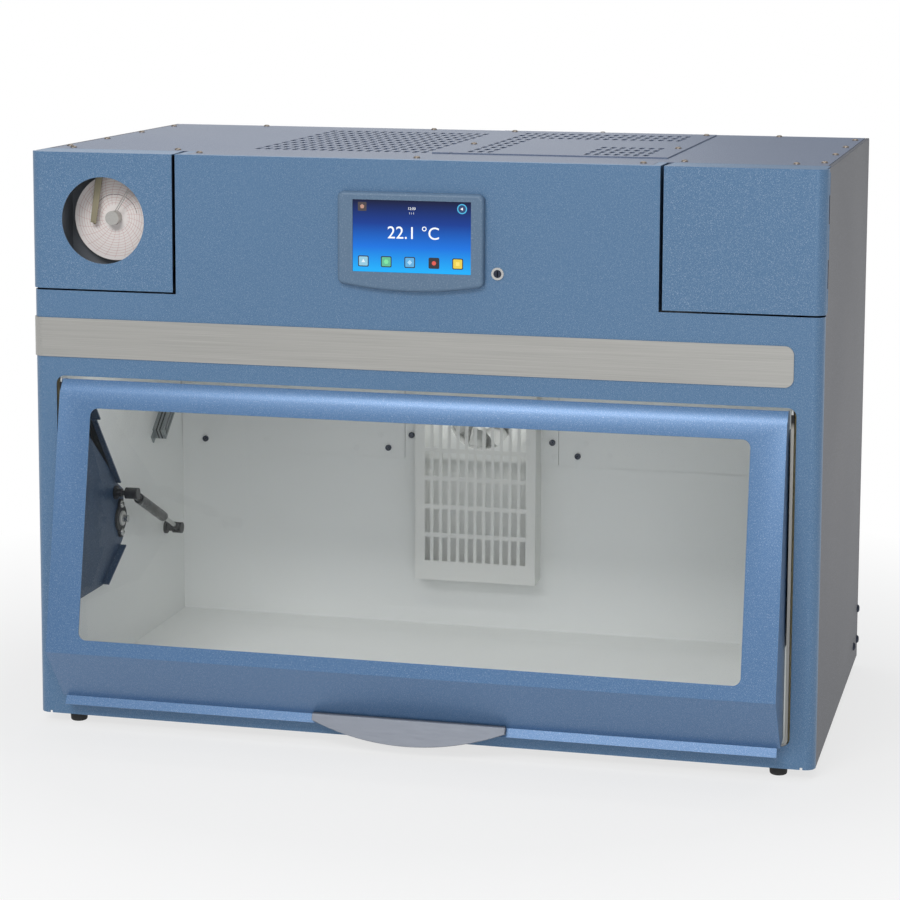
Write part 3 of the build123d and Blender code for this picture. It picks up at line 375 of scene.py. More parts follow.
@dataclass(frozen=True)
class Finish:
    """A solid finish: one colour with a surface effect over it."""

    name: str
    colour: Colour
    grain: Grain = Grain.SPECKLE
    metallic: float = 0.0
    roughness: float = 0.45
    coat: float = 0.0
    flake: float = 0.0
    scale: float = 900.0
    stretch: tuple[float, float, float] = (8.0, 900.0, 900.0)
    contrast: float = 0.25
    bump_mm: float = 0.02
    alpha: float = 1.0
    transmission: float = 0.0

    def material(self) -> bpy.types.Material:
        """Builds the material, or returns it if it exists.

        Returns:
            The material.
        """
        known = bpy.data.materials.get(self.name)
        if known:
            return known
        made = bpy.data.materials.new(self.name)
        made.use_nodes = True
        made.diffuse_color = (*self.colour, self.alpha)
        board = Board(made.node_tree)
        shader = made.node_tree.nodes["Principled BSDF"]
        shader.inputs["Metallic"].default_value = self.metallic
        shader.inputs["Coat Weight"].default_value = self.coat
        shader.inputs["Coat Roughness"].default_value = 0.25
        shader.inputs["Alpha"].default_value = self.alpha
        shader.inputs["Transmission Weight"].default_value = self.transmission
        effect = board.add("ShaderNodeGroup", node_tree=getattr(Effects, self.grain.value)())
        effect.inputs[0].default_value = (*self.colour, 1)
        if self.grain is Grain.BRUSHING:
            effect.inputs["Stretch"].default_value = self.stretch
            effect.inputs["Contrast"].default_value = self.contrast
            roughness = board.math("ADD", effect.outputs["Roughness"], self.roughness - 0.36)
        else:
            effect.inputs["Grain Scale"].default_value = self.scale
            roughness = board.math("ADD", effect.outputs["Roughness Drift"], self.roughness)
        if self.grain is Grain.SPECKLE:
            effect.inputs["Flake"].default_value = self.flake
        bump = board.add("ShaderNodeBump", Strength=0.5, Distance=self.bump_mm * MM)
        board.link(effect.outputs["Height"], bump.inputs["Height"])
        board.link(effect.outputs["Color"], shader.inputs["Base Color"])
        board.link(roughness, shader.inputs["Roughness"])
        board.link(bump.outputs["Normal"], shader.inputs["Normal"])
        return made


BLUE = Finish("metallic_blue_coat", srgb(84, 121, 157), metallic=0.25, roughness=0.4, coat=0.12,
              flake=0.4, scale=1700, bump_mm=0.01)
DOOR_BLUE = Finish("door_blue_coat", srgb(82, 121, 164), metallic=0.3, roughness=0.38, coat=0.25,
                   flake=0.4, scale=1700, bump_mm=0.01)
WELL_GREY = Finish("recorder_well_coat", srgb(120, 124, 130), roughness=0.5, bump_mm=0.02)
BEZEL_BLUE = Finish("bezel_textured_coat", srgb(94, 120, 146), roughness=0.5, flake=0.15, scale=800,
                    bump_mm=0.08)
# The hinge wings carry the door's blue darkened as painted shade, for the shade they sit in inside the
# door.
SHADED_WING_BLUE = Finish("wing_blue_painted_shade", srgb(44, 70, 100), metallic=0.2, roughness=0.45, flake=0.2)
SLATE = Finish("slate_lid_coat", srgb(104, 116, 140), metallic=0.2, roughness=0.42, flake=0.3,
               scale=1200, bump_mm=0.04)
SIDE_GREY = Finish("side_panel_coat", srgb(82, 83, 90), metallic=0.1, roughness=0.5, flake=0.2,
                   scale=1200, bump_mm=0.04)
WHITE = Finish("chamber_white_coat", srgb(236, 238, 236), roughness=0.42, scale=1000, bump_mm=0.02)
OFF_WHITE = Finish("grille_white_coat", srgb(228, 229, 225), roughness=0.45, bump_mm=0.02)
STRIP = Finish("brushed_accent_metal", srgb(176, 175, 171), Grain.BRUSHING, metallic=0.85,
               roughness=0.42, stretch=(6.0, 1400.0, 1400.0), contrast=0.35)
HANDLE = Finish("satin_handle_metal", srgb(130, 134, 142), Grain.BRUSHING, metallic=0.7,
                roughness=0.52, stretch=(40.0, 1200.0, 1200.0), contrast=0.1)
STEEL = Finish("bright_screw_steel", srgb(196, 196, 194), Grain.BRUSHING, metallic=1.0,
               roughness=0.26, stretch=(700.0, 700.0, 700.0), contrast=0.1)
HUB_METAL = Finish("turned_hub_metal", srgb(186, 184, 180), Grain.BRUSHING, metallic=0.9,
                   roughness=0.35, stretch=(900.0, 60.0, 900.0), contrast=0.3)
DARK_SCREW = Finish("dark_screw_oxide", srgb(52, 58, 72), Grain.BRUSHING, metallic=0.7,
                    roughness=0.35, stretch=(500.0, 500.0, 500.0), contrast=0.15)
GALVANISED = Finish("galvanised_sheet", srgb(168, 170, 172), Grain.BRUSHING, metallic=0.8,
                    roughness=0.45, stretch=(90.0, 90.0, 90.0), contrast=0.3)
FINS = Finish("fin_aluminium", srgb(196, 197, 198), Grain.BRUSHING, metallic=0.9, roughness=0.4,
              stretch=(300.0, 40.0, 300.0), contrast=0.2)
RUBBER = Finish("foot_rubber", srgb(24, 24, 25), Grain.MOULDING, roughness=0.7, scale=900)
BLACK = Finish("black_moulding", srgb(30, 30, 32), Grain.MOULDING, roughness=0.5, scale=1100)
SATIN_BLACK = Finish("satin_black_tube", srgb(34, 34, 36), Grain.MOULDING, roughness=0.28,
                     scale=1400, bump_mm=0.005)
EDGING = Finish("edging_plastic", srgb(196, 192, 182), Grain.MOULDING, roughness=0.45, scale=900)
BUSH = Finish("bush_plastic", srgb(206, 206, 202), Grain.MOULDING, roughness=0.4)
FOAM = Finish("insulation_foam", srgb(222, 206, 160), Grain.MOULDING, roughness=0.9, scale=350,
              bump_mm=0.3)
BOARD_GREEN = Finish("board_solder_mask", srgb(32, 98, 56), Grain.MOULDING, roughness=0.4)
OLIVE = Finish("pen_arm_lacquer", srgb(150, 142, 118), Grain.BRUSHING, metallic=0.3, roughness=0.4,
               stretch=(700.0, 700.0, 40.0), contrast=0.15)
CATCH = Finish("catch_plate_steel", srgb(150, 156, 158), Grain.BRUSHING, metallic=0.7, roughness=0.35,
              stretch=(200.0, 200.0, 200.0), contrast=0.1)
LID_STEEL = Finish("lid_screw_steel", srgb(150, 140, 130), Grain.BRUSHING, metallic=0.9,
                   roughness=0.32, stretch=(700.0, 700.0, 700.0), contrast=0.1)
FAN_WHITE = Finish("fan_pale_moulding", srgb(206, 208, 206), Grain.MOULDING, roughness=0.5)
CLEAR = Finish("clear_window_sheet", (0.96, 0.98, 0.98), Grain.MOULDING, roughness=0.03, scale=3,
               bump_mm=0.0, alpha=0.035, transmission=1.0)


# ---------------------------------------------------------------------------------------------
# The construction model and the pieces that replace some of its parts
# ---------------------------------------------------------------------------------------------
@dataclass
class Construction:
    """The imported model: which body each node rides on, and where each node is."""

    frame: dict
    body_of: dict[str, str] = field(default_factory=dict)

    def __post_init__(self) -> None:
        """Reads the body of each node from the record."""
        for body, nodes in self.frame["record"]["behaviour"]["bodies"].items():
            for node in nodes:
                self.body_of[node] = body

    def box(self, node: str) -> Box:
        """Returns a node's lowest and highest corners."""
        low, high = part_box(node)
        return Vector(low), Vector(high)

    def centre(self, node: str) -> Vector:
        """Returns the middle of a node's box."""
        low, high = self.box(node)
        return (low + high) / 2

    def dress(self, node: str, material: bpy.types.Material) -> None:
        """Gives a carried-over node a material, without touching its shape.

        Args:
            node: The node's name.
            material: Its material.
        """
        target = self.frame["nodes"][node]
        for slot in target.material_slots:
            slot.link = "OBJECT"
            slot.material = material
        if not target.material_slots:
            target.data.materials.append(material)

    def merged(self, node: str) -> bmesh.types.BMesh:
        """Returns a node's shape as an edit mesh with its doubled points joined."""
        edit = bmesh.new()
        edit.from_mesh(self.frame["nodes"][node].data)
        bmesh.ops.remove_doubles(edit, verts=edit.verts, dist=2e-6)
        return edit

    def islands(self, node: str) -> list[Box]:
        """Finds the separate solids of a node.

        Args:
            node: The node's name.

        Returns:
            The lowest and highest corners of each solid, from left to right.
        """
        edit = self.merged(node)
        waiting = set(edit.verts)
        found: list[Box] = []
        while waiting:
            stack = [waiting.pop()]
            members = list(stack)
            while stack:
                for edge in stack.pop().link_edges:
                    for vert in edge.verts:
                        if vert in waiting:
                            waiting.remove(vert)
                            stack.append(vert)
                            members.append(vert)
            corners = [vert.co for vert in members]
            low = Vector(min(c[axis] for c in corners) for axis in range(3))
            high = Vector(max(c[axis] for c in corners) for axis in range(3))
            found.append((low, high))
        edit.free()
        return sorted(found, key=lambda pair: tuple(round(value, 5) for value in pair[0]))

    def softened(self, node: str, name: str, radius_mm: float, finish: Finish,
                 segments: int = 2, limit_deg: float = 38.0) -> bpy.types.Object:
        """Replaces a sheet-metal node by the same shape with its folds and edges rounded.

        Args:
            node: The node that is replaced.
            name: The new piece's name.
            radius_mm: The rounding of its edges.
            finish: Its finish.
            segments: Steps in the rounding.
            limit_deg: Edges that turn by less than this stay as they are.

        Returns:
            The new piece, riding on the node's body.
        """
        edit = self.merged(node)
        bmesh.ops.dissolve_limit(edit, angle_limit=math.radians(0.5), verts=edit.verts,
                                 edges=edit.edges)
        mesh = bpy.data.meshes.new(name)
        edit.to_mesh(mesh)
        edit.free()
        piece = new_object(name, mesh)
        bevel = piece.modifiers.new("folds", "BEVEL")
        bevel.width = radius_mm * MM
        bevel.segments = segments
        bevel.limit_method = "ANGLE"
        bevel.angle_limit = math.radians(limit_deg)
        bevel.use_clamp_overlap = True
        bake_modifiers(piece)
        mark_smooth(piece.data, 40.0)
        weighted = piece.modifiers.new("flat_faces", "WEIGHTED_NORMAL")
        weighted.keep_sharp = True
        bake_modifiers(piece)
        piece.data.materials.clear()
        piece.data.materials.append(finish.material())
        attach(piece, self.body_of[node])
        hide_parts(node)
        LOG.info("softened %s into %s, %d faces", node, name, len(piece.data.polygons))
        return piece

    def slot_of(self, node: str) -> str:
        """Returns the record's material slot of a node."""
        return next(part["material_slot"] for part in self.frame["record"]["subparts"]
                    if part["node"] == node)


class Recess(Enum):
    """The drive that is sunk into a screw's head."""

    HEX = "hex"
    CROSS = "cross"
    PLAIN = "plain"

    def reach(self, angle: float) -> float:
        """How far the recess goes out in one direction.

        Args:
            angle: The direction round the head, in radians.

        Returns:
            The distance as a share of the head's radius.
        """
        if self is Recess.HEX:
            sector = (angle + math.pi / 6) % (math.pi / 3) - math.pi / 6
            return 0.40 / math.cos(sector) * math.cos(math.pi / 6)
        if self is Recess.CROSS:
            return 0.14 + 0.40 * abs(math.cos(2 * angle)) ** 5
        return 0.12


@dataclass
class ScrewHeads:
    """A set of equal screw heads, set out by Geometry Nodes on the solids of one node."""

    node: str
    name: str
    finish: Finish
    recess: Recess
    profile: Sequence[tuple[float, float]] = ((1.0, 0.0), (1.0, 0.10), (0.97, 0.18), (0.86, 0.34),
                                              (0.70, 0.47), (0.55, 0.54))
    recess_depth: float = 0.34
    steps: int = 24

    def head_mesh(self) -> bpy.types.Mesh:
        """Builds one head of unit radius, standing on the level plane.

        Returns:
            The head's mesh, closed underneath.
        """
        def ring(edit: bmesh.types.BMesh, radii: Callable[[float], float],
                 height: float) -> list[bmesh.types.BMVert]:
            """Adds one ring of points at a height."""
            angles = [math.tau * number / self.steps for number in range(self.steps)]
            return [edit.verts.new((radii(a) * math.cos(a), radii(a) * math.sin(a), height))
                    for a in angles]

        def build(edit: bmesh.types.BMesh) -> None:
            """Skins the rings of the head and closes both ends."""
            top = self.profile[-1][1]
            rings = [ring(edit, lambda _angle, r=radius: r, height)
                     for radius, height in self.profile]
            rings.append(ring(edit, self.recess.reach, top + 0.01))
            rings.append(ring(edit, self.recess.reach, top - self.recess_depth))
            for lower, upper in zip(rings, rings[1:]):
                for number in range(self.steps):
                    after = (number + 1) % self.steps
                    edit.faces.new((lower[number], lower[after], upper[after], upper[number]))
            edit.faces.new(rings[0][::-1])
            edit.faces.new(rings[-1])

        mesh = mesh_from(f"{self.name}_head", build)
        mark_smooth(mesh, 35)
        return mesh

    @staticmethod
    def tree() -> bpy.types.NodeTree:
        """Builds the tree that stands a head on every point and turns it to the point's facing.

        Returns:
            The geometry node tree, with inputs Head and Finish.
        """
        known = bpy.data.node_groups.get("heads_on_points")
        if known:
            return known
        tree = bpy.data.node_groups.new("heads_on_points", "GeometryNodeTree")
        tree.interface.new_socket("Geometry", in_out="INPUT", socket_type="NodeSocketGeometry")
        tree.interface.new_socket("Head", in_out="INPUT", socket_type="NodeSocketObject")
        tree.interface.new_socket("Finish", in_out="INPUT", socket_type="NodeSocketMaterial")
        tree.interface.new_socket("Geometry", in_out="OUTPUT", socket_type="NodeSocketGeometry")
        board = Board(tree)
        given, made = board.add("NodeGroupInput"), board.add("NodeGroupOutput")
        head = board.add("GeometryNodeObjectInfo")
        board.link(given.outputs["Head"], head.inputs["Object"])
        facing = board.add("GeometryNodeInputNamedAttribute", data_type="FLOAT_VECTOR", Name="facing")
        size = board.add("GeometryNodeInputNamedAttribute", data_type="FLOAT", Name="size")
        spin = board.add("FunctionNodeRandomValue", data_type="FLOAT")
        spin.inputs[2].default_value = 0.0
        spin.inputs[3].default_value = math.tau
        spin.inputs["Seed"].default_value = 7
        twist = board.add("ShaderNodeCombineXYZ")
        board.link(spin.outputs[1], twist.inputs["Z"])
        stand = board.add("FunctionNodeAlignRotationToVector", axis="Z")
        board.link(twist.outputs[0], stand.inputs["Rotation"])
        board.link(facing.outputs["Attribute"], stand.inputs["Vector"])
        place = board.add("GeometryNodeInstanceOnPoints")
        board.link(given.outputs["Geometry"], place.inputs["Points"])
        board.link(head.outputs["Geometry"], place.inputs["Instance"])
        board.link(stand.outputs["Rotation"], place.inputs["Rotation"])
        board.link(size.outputs["Attribute"], place.inputs["Scale"])
        real = board.add("GeometryNodeRealizeInstances")
        board.link(place.outputs["Instances"], real.inputs["Geometry"])
        paint = board.add("GeometryNodeSetMaterial")
        board.link(real.outputs["Geometry"], paint.inputs["Geometry"])
        board.link(given.outputs["Finish"], paint.inputs["Material"])
        board.link(paint.outputs["Geometry"], made.inputs["Geometry"])
        return tree

    def build(self, model: Construction) -> bpy.types.Object:
        """Replaces the node's plain heads by detailed ones in the same places.

        Args:
            model: The construction model.

        Returns:
            The new piece.
        """
        middle = model.centre("chamber_liner")
        places: list[Vector] = []
        facings: list[Vector] = []
        sizes: list[float] = []
        for low, high in model.islands(self.node):
            extent = high - low
            axis = min(range(3), key=lambda number: extent[number])
            centre = (low + high) / 2
            outward = 1.0 if centre[axis] > middle[axis] else -1.0
            if self.node in ("panel_screws", "bearing_screws"):
                outward = -outward if self.node == "bearing_screws" else -1.0
            facing = Vector((0, 0, 0))
            facing[axis] = outward
            base = centre.copy()
            base[axis] = low[axis] if outward > 0 else high[axis]
            places.append(base)
            facings.append(facing)
            sizes.append(max(extent) / 2)
        points = bpy.data.meshes.new(f"{self.name}_places")
        points.from_pydata(places, [], [])
        facing_data = points.attributes.new("facing", "FLOAT_VECTOR", "POINT")
        facing_data.data.foreach_set("vector", [value for v in facings for value in v])
        size_data = points.attributes.new("size", "FLOAT", "POINT")
        size_data.data.foreach_set("value", sizes)
        head = new_object(f"{self.name}_pattern", self.head_mesh())
        piece = new_object(self.name, points)
        modifier = piece.modifiers.new("heads", "NODES")
        modifier.node_group = self.tree()
        for socket in modifier.node_group.interface.items_tree:
            if socket.in_out == "INPUT" and socket.name == "Head":
                modifier[socket.identifier] = head
            if socket.in_out == "INPUT" and socket.name == "Finish":
                modifier[socket.identifier] = self.finish.material()
        bake_modifiers(piece)
        for name in ("facing", "size"):
            if name in piece.data.attributes:
                piece.data.attributes.remove(piece.data.attributes[name])
        bpy.data.objects.remove(head)
        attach(piece, model.body_of[self.node])
        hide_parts(self.node)
        LOG.info("%s: %d heads", self.name, len(places))
        return piece


# ---------------------------------------------------------------------------------------------
# Printed chart and lit display
# ---------------------------------------------------------------------------------------------
@dataclass
class ChartRecorder:
    """The round paper chart with its printed grid and its inked trace."""

    ring_pitch_mm: float = 3.1
    spokes: int = 24
    curl: float = 9.0
    print_from_mm: float = 14.5
    print_to_mm: float = 47.5
    spoke_line_mm: float = 0.20
    ring_line_share: float = 0.07
    ink_strength: float = 0.62
    trace_radius_mm: float = 26.2
    trace_wander_mm: float = 1.6
    trace_line_mm: float = 0.22
    trace_from_rad: float = 0.2
    paper: Colour = srgb(248, 240, 236)
    ink: Colour = srgb(196, 136, 128)
    trace: Colour = srgb(60, 54, 60)

    def material(self, centre: Vector) -> bpy.types.Material:
        """Builds the printed paper.

        Args:
            centre: The chart's middle.

        Returns:
            The material.
        """
        made = bpy.data.materials.new("printed_chart_paper")
        made.use_nodes = True
        board = Board(made.node_tree)
        shader = made.node_tree.nodes["Principled BSDF"]
        shader.inputs["Roughness"].default_value = 0.85
        place = board.add("ShaderNodeTexCoord").outputs["Object"]
        split = board.add("ShaderNodeSeparateXYZ")
        board.link(place, split.inputs[0])
        right = board.math("SUBTRACT", split.outputs["X"], centre.x)
        up = board.math("SUBTRACT", split.outputs["Z"], centre.z)
        radius = board.math("SQRT", board.math("ADD", board.math("MULTIPLY", right, right),
                                               board.math("MULTIPLY", up, up)))
        angle = board.math("ARCTAN2", up, right)
        turned = board.math("MULTIPLY_ADD", radius, self.curl, angle)
        share = board.math("MULTIPLY", turned, self.spokes / math.tau)
        off_spoke = board.math("ABSOLUTE", board.math("SUBTRACT", board.math("FRACT", share), 0.5))
        spoke_gap = board.math("MULTIPLY", board.math("MULTIPLY", off_spoke, radius),
                               math.tau / self.spokes)
        spoke = board.math("LESS_THAN", spoke_gap, self.spoke_line_mm * MM)
        rings = board.math("FRACT", board.math("DIVIDE", radius, self.ring_pitch_mm * MM))
        ring = board.math("LESS_THAN", board.math("ABSOLUTE", board.math("SUBTRACT", rings, 0.5)),
                          self.ring_line_share)
        band = board.math("MULTIPLY", board.math("GREATER_THAN", radius, self.print_from_mm * MM),
                          board.math("LESS_THAN", radius, self.print_to_mm * MM))
        grid = board.math("MULTIPLY", board.math("MAXIMUM", spoke, ring), band)
        wobble = board.add("ShaderNodeTexNoise", Scale=260.0, Detail=3.0)
        board.link(place, wobble.inputs["Vector"])
        path = board.math("MULTIPLY_ADD", wobble.outputs["Fac"], self.trace_wander_mm * MM,
                          self.trace_radius_mm * MM)
        trace_gap = board.math("ABSOLUTE", board.math("SUBTRACT", radius, path))
        drawn = board.math("MULTIPLY", board.math("LESS_THAN", trace_gap, self.trace_line_mm * MM),
                           board.math("GREATER_THAN", angle, self.trace_from_rad))
        tone = board.math("MULTIPLY", grid, self.ink_strength)
        printed = board.blend(tone, self.paper, self.ink)
        board.link(board.blend(drawn, printed, self.trace), shader.inputs["Base Color"])
        return made


@dataclass
class Display:
    """The lit touch screen: a blue ground, a temperature reading and plain icons."""

    model: Construction
    lift: float = 0.06 * MM
    text_height: float = 19.5 * MM
    made: list[bpy.types.Object] = field(default_factory=list)

    def __post_init__(self) -> None:
        """Reads the screen's face from the construction model."""
        low, high = self.model.box("display_glass")
        self.face_y = low.y
        self.left, self.right = low.x + 3.0 * MM, high.x - 3.0 * MM
        self.low, self.high = low.z + 3.0 * MM, high.z - 3.0 * MM

    def point(self, across: float, up: float) -> Vector:
        """Returns a point of the screen from shares of its width and height."""
        return Vector((self.left + (self.right - self.left) * across, self.face_y - self.lift,
                       self.low + (self.high - self.low) * up))

    @staticmethod
    def glow(name: str, colour: Colour, strength: float = 0.85) -> bpy.types.Material:
        """Makes a lit material of one colour.

        Args:
            name: Its name.
            colour: Its colour.
            strength: How bright it glows.

        Returns:
            The material.
        """
        made = bpy.data.materials.new(name)
        made.use_nodes = True
        board = Board(made.node_tree)
        shader = made.node_tree.nodes["Principled BSDF"]
        shader.inputs["Roughness"].default_value = 0.2
        shader.inputs["Emission Strength"].default_value = strength
        place = board.add("ShaderNodeTexCoord").outputs["Object"]
        pixels = board.add("ShaderNodeTexChecker", Scale=2600.0)
        board.link(place, pixels.inputs["Vector"])
        shade = board.blend(board.math("MULTIPLY", pixels.outputs["Fac"], 0.06), colour, (0, 0, 0))
        board.link(shade, shader.inputs["Emission Color"])
        board.link(board.blend(0.85, shade, (0.01, 0.01, 0.01)), shader.inputs["Base Color"])
        return made

    def ground(self) -> bpy.types.Material:
        """Builds the screen's blue ground, dark at the top and bright at the bottom.

        Returns:
            The material.
        """
        made = bpy.data.materials.new("lit_screen_ground")
        made.use_nodes = True
        board = Board(made.node_tree)
        shader = made.node_tree.nodes["Principled BSDF"]
        shader.inputs["Roughness"].default_value = 0.25
        shader.inputs["Specular IOR Level"].default_value = 0.15
        shader.inputs["Emission Strength"].default_value = 0.9
        place = board.add("ShaderNodeTexCoord").outputs["Object"]
        split = board.add("ShaderNodeSeparateXYZ")
        board.link(place, split.inputs[0])
        height = board.add("ShaderNodeMapRange", From_Min=self.low, From_Max=self.high)
        board.link(split.outputs["Z"], height.inputs["Value"])
        ramp = board.add("ShaderNodeValToRGB")
        stops = ((0.0, srgb(24, 180, 255)), (0.35, srgb(14, 116, 224)), (0.68, srgb(8, 58, 146)),
                 (1.0, srgb(4, 14, 52)))
        ramp.color_ramp.elements[0].position, ramp.color_ramp.elements[1].position = 0.0, 1.0
        for position, colour in stops[1:-1]:
            ramp.color_ramp.elements.new(position).color = (*colour, 1)
        ramp.color_ramp.elements[0].color = (*stops[0][1], 1)
        ramp.color_ramp.elements[-1].color = (*stops[-1][1], 1)
        board.link(height.outputs["Result"], ramp.inputs["Fac"])
        board.link(ramp.outputs["Color"], shader.inputs["Emission Color"])
        board.link(board.blend(0.9, ramp.outputs["Color"], (0.01, 0.01, 0.01)),
                   shader.inputs["Base Color"])
        return made

    def words(self, name: str, text: str, height: float, across: float, up: float,
              material: bpy.types.Material) -> bpy.types.Object:
        """Sets a line of figures on the screen.

        Args:
            name: The piece's name.
            text: The figures.
            height: Their size in metres.
            across: Place across the screen, as a share.
            up: Place up the screen, as a share.
            material: The glow they have.

        Returns:
            The piece.
        """
        curve = bpy.data.curves.new(name, "FONT")
        curve.body = text
        curve.size = height
        curve.align_x, curve.align_y = "CENTER", "CENTER"
        curve.extrude = self.lift / 2
        writer = new_object(f"{name}_curve", curve)
        bpy.context.view_layer.update()
        mesh = evaluated_mesh(writer)
        bpy.data.objects.remove(writer)
        mesh.transform(Matrix.Translation(self.point(across, up)) @ Matrix.Rotation(math.pi / 2, 4, "X"))
        mesh.materials.clear()
        mesh.materials.append(material)
        return self._keep(new_object(name, mesh))

    def _keep(self, piece: bpy.types.Object) -> bpy.types.Object:
        """Rides a piece of the picture on the case and remembers it."""
        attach(piece, self.model.body_of["display_glass"])
        self.made.append(piece)
        return piece

    def shape(self, name: str, across: float, up: float, outline: Iterable[tuple[float, float]],
              material: bpy.types.Material, layer: int = 1) -> bpy.types.Object:
        """Adds a flat lit shape.

        Args:
            name: The piece's name.
            across: Place across the screen, as a share.
            up: Place up the screen, as a share.
            outline: Its corners in millimetres from that place.
            material: The glow it has.
            layer: How many film thicknesses it stands off the screen.

        Returns:
            The piece.
        """
        middle = self.point(across, up)
        depth = self.face_y - self.lift * layer

        def build(edit: bmesh.types.BMesh) -> None:
            """Makes the shape as a thin slab."""
            corners = [edit.verts.new((middle.x + x * MM, depth, middle.z + z * MM))
                       for x, z in outline]
            face = edit.faces.new(corners)
            slab = bmesh.ops.extrude_face_region(edit, geom=[face])
            moved = [item for item in slab["geom"] if isinstance(item, bmesh.types.BMVert)]
            bmesh.ops.translate(edit, verts=moved, vec=(0, -self.lift * 0.8, 0))
            bmesh.ops.recalc_face_normals(edit, faces=edit.faces)

        mesh = mesh_from(name, build)
        mesh.materials.append(material)
        return self._keep(new_object(name, mesh))

    @staticmethod
    def rounded(half: float, corner: float = 1.6, steps: int = 4) -> list[tuple[float, float]]:
        """Returns the corners of a rounded square of a half width, in millimetres."""
        points = []
        for quarter in range(4):
            for step in range(steps + 1):
                angle = math.pi / 2 * (quarter + step / steps)
                x = math.copysign(half - corner, math.cos(math.pi / 4 + quarter * math.pi / 2))
                z = math.copysign(half - corner, math.sin(math.pi / 4 + quarter * math.pi / 2))
                points.append((x + corner * math.cos(angle), z + corner * math.sin(angle)))
        return points

    @staticmethod
    def ring_of(radius: float, sides: int, start: float = 0.0) -> list[tuple[float, float]]:
        """Returns the corners of a regular shape, in millimetres."""
        return [(radius * math.cos(start + math.tau * k / sides),
                 radius * math.sin(start + math.tau * k / sides)) for k in range(sides)]

    def build(self) -> None:
        """Lights the screen and sets its reading and icons."""
        self.model.dress("display_glass", self.ground())
        white = self.glow("lit_white", (0.95, 0.97, 1.0), 0.95)
        self.words("temperature_reading", "22.1 °C", self.text_height, 0.515, 0.545, white)
        self.words("clock_reading", "12:00", 4.2 * MM, 0.50, 0.89, white)
        self.words("count_reading", "1 / 1", 3.4 * MM, 0.50, 0.825, white)
        dark = self.glow("lit_dark_glyph", srgb(24, 34, 52), 0.5)
        tiles = ((0.090, srgb(150, 208, 232)), (0.285, srgb(96, 196, 150)),
                 (0.485, srgb(96, 180, 232)), (0.690, srgb(30, 26, 36)), (0.890, srgb(244, 214, 70)))
        for number, (across, colour) in enumerate(tiles):
            rim = self.glow(f"lit_tile_{number}", colour, 0.8)
            self.shape(f"menu_tile_{number}", across, 0.145, self.rounded(6.2), dark)
            self.shape(f"menu_well_{number}", across, 0.145, self.rounded(5.1, 1.0), rim, 2)
        marks = (self.ring_of(2.6, 3, math.pi / 2), self.ring_of(2.8, 6), self.ring_of(2.8, 4),
                 self.ring_of(2.4, 20), self.ring_of(2.9, 4, math.pi / 4))
        tones = (srgb(224, 240, 248), srgb(120, 226, 160), srgb(170, 220, 250), srgb(226, 84, 70),
                 srgb(250, 226, 110))
        for number, (outline, tone) in enumerate(zip(marks, tones)):
            self.shape(f"menu_mark_{number}", tiles[number][0], 0.145, outline,
                       self.glow(f"lit_mark_{number}", tone, 0.9), 3)
        self.shape("alarm_tile", 0.080, 0.905, self.rounded(5.0, 1.0),
                   self.glow("lit_alarm_tile", srgb(70, 60, 66), 0.7))
        self.shape("alarm_mark", 0.080, 0.905, self.ring_of(2.6, 5, math.pi / 2),
                   self.glow("lit_alarm_mark", srgb(198, 150, 132), 0.8), 2)
        self.shape("sound_button", 0.925, 0.905, self.ring_of(5.6, 28),
                   self.glow("lit_sound_button", srgb(70, 190, 236), 0.85))
        self.shape("sound_mark", 0.925, 0.905, self.ring_of(4.4, 28),
                   self.glow("lit_sound_mark", srgb(14, 60, 116), 0.7), 2)
        self.shape("sound_dot", 0.925, 0.905, self.ring_of(1.9, 3, math.pi), white, 3)
        LOG.info("display: %d lit pieces", len(self.made))


# ---------------------------------------------------------------------------------------------
# Finishes of the carried-over nodes
# ---------------------------------------------------------------------------------------------
DRESSED: dict[str, Finish] = {
    "base_pan": SIDE_GREY, "back_panel": SIDE_GREY, "service_panel": SLATE, "insulation": FOAM,
    "display_bezel": BEZEL_BLUE, "lock_body": STEEL, "lock_plug": DARK_SCREW,
    "chamber_liner": WHITE, "equipment_deck": GALVANISED, "upper_left_panel": WHITE,
    "upper_centre_panel": WHITE, "upper_right_panel": WHITE, "grille_box": OFF_WHITE,
    "circulation_fan_frame": FAN_WHITE, "circulation_fan_rotor": FAN_WHITE, "evaporator": FINS,
    "heater": GALVANISED, "compressor": BLACK, "condenser": FINS, "condenser_fan_frame": BLACK,
    "condenser_fan_rotor": SATIN_BLACK, "power_supply": GALVANISED, "control_board": BOARD_GREEN,
    "backup_battery": BLACK, "power_inlet": BLACK, "switch_rocker": SATIN_BLACK,
    "recorder_case": WELL_GREY, "recorder_drive": GALVANISED, "chart_hub": HUB_METAL,
    "pen_arm": OLIVE, "cover_hinges": DARK_SCREW, "pivot_pins": STEEL, "wall_stud": BLACK,
    "wing_stud": BLACK, "door_window": CLEAR, "window_seal": BLACK,
    "door_bearings": BLACK, "bearing_bushes": BUSH,
    "damper_cylinder": SATIN_BLACK,
}

SOFTENED: tuple[tuple[str, str, float, Finish], ...] = (
    ("front_panel", "front_fascia", 0.9, BLUE),
    ("chart_cover", "chart_door_leaf", 1.0, BLUE),
    ("access_cover", "access_door_leaf", 1.0, BLUE),
    ("door_panel", "window_door_frame", 1.4, DOOR_BLUE),
    ("left_side_panel", "left_case_side", 0.9, SIDE_GREY),
    ("right_side_panel", "right_case_side", 0.9, SIDE_GREY),
    ("lid", "slotted_lid", 0.5, SLATE),
    ("accent_strip", "folded_accent_strip", 0.5, STRIP),
    ("door_handle", "folded_door_handle", 0.35, HANDLE),
    ("left_wing", "left_hinge_wing", 0.5, SHADED_WING_BLUE),
    ("right_wing", "right_hinge_wing", 0.5, SHADED_WING_BLUE),
    ("feet", "rubber_feet", 1.2, RUBBER),
)

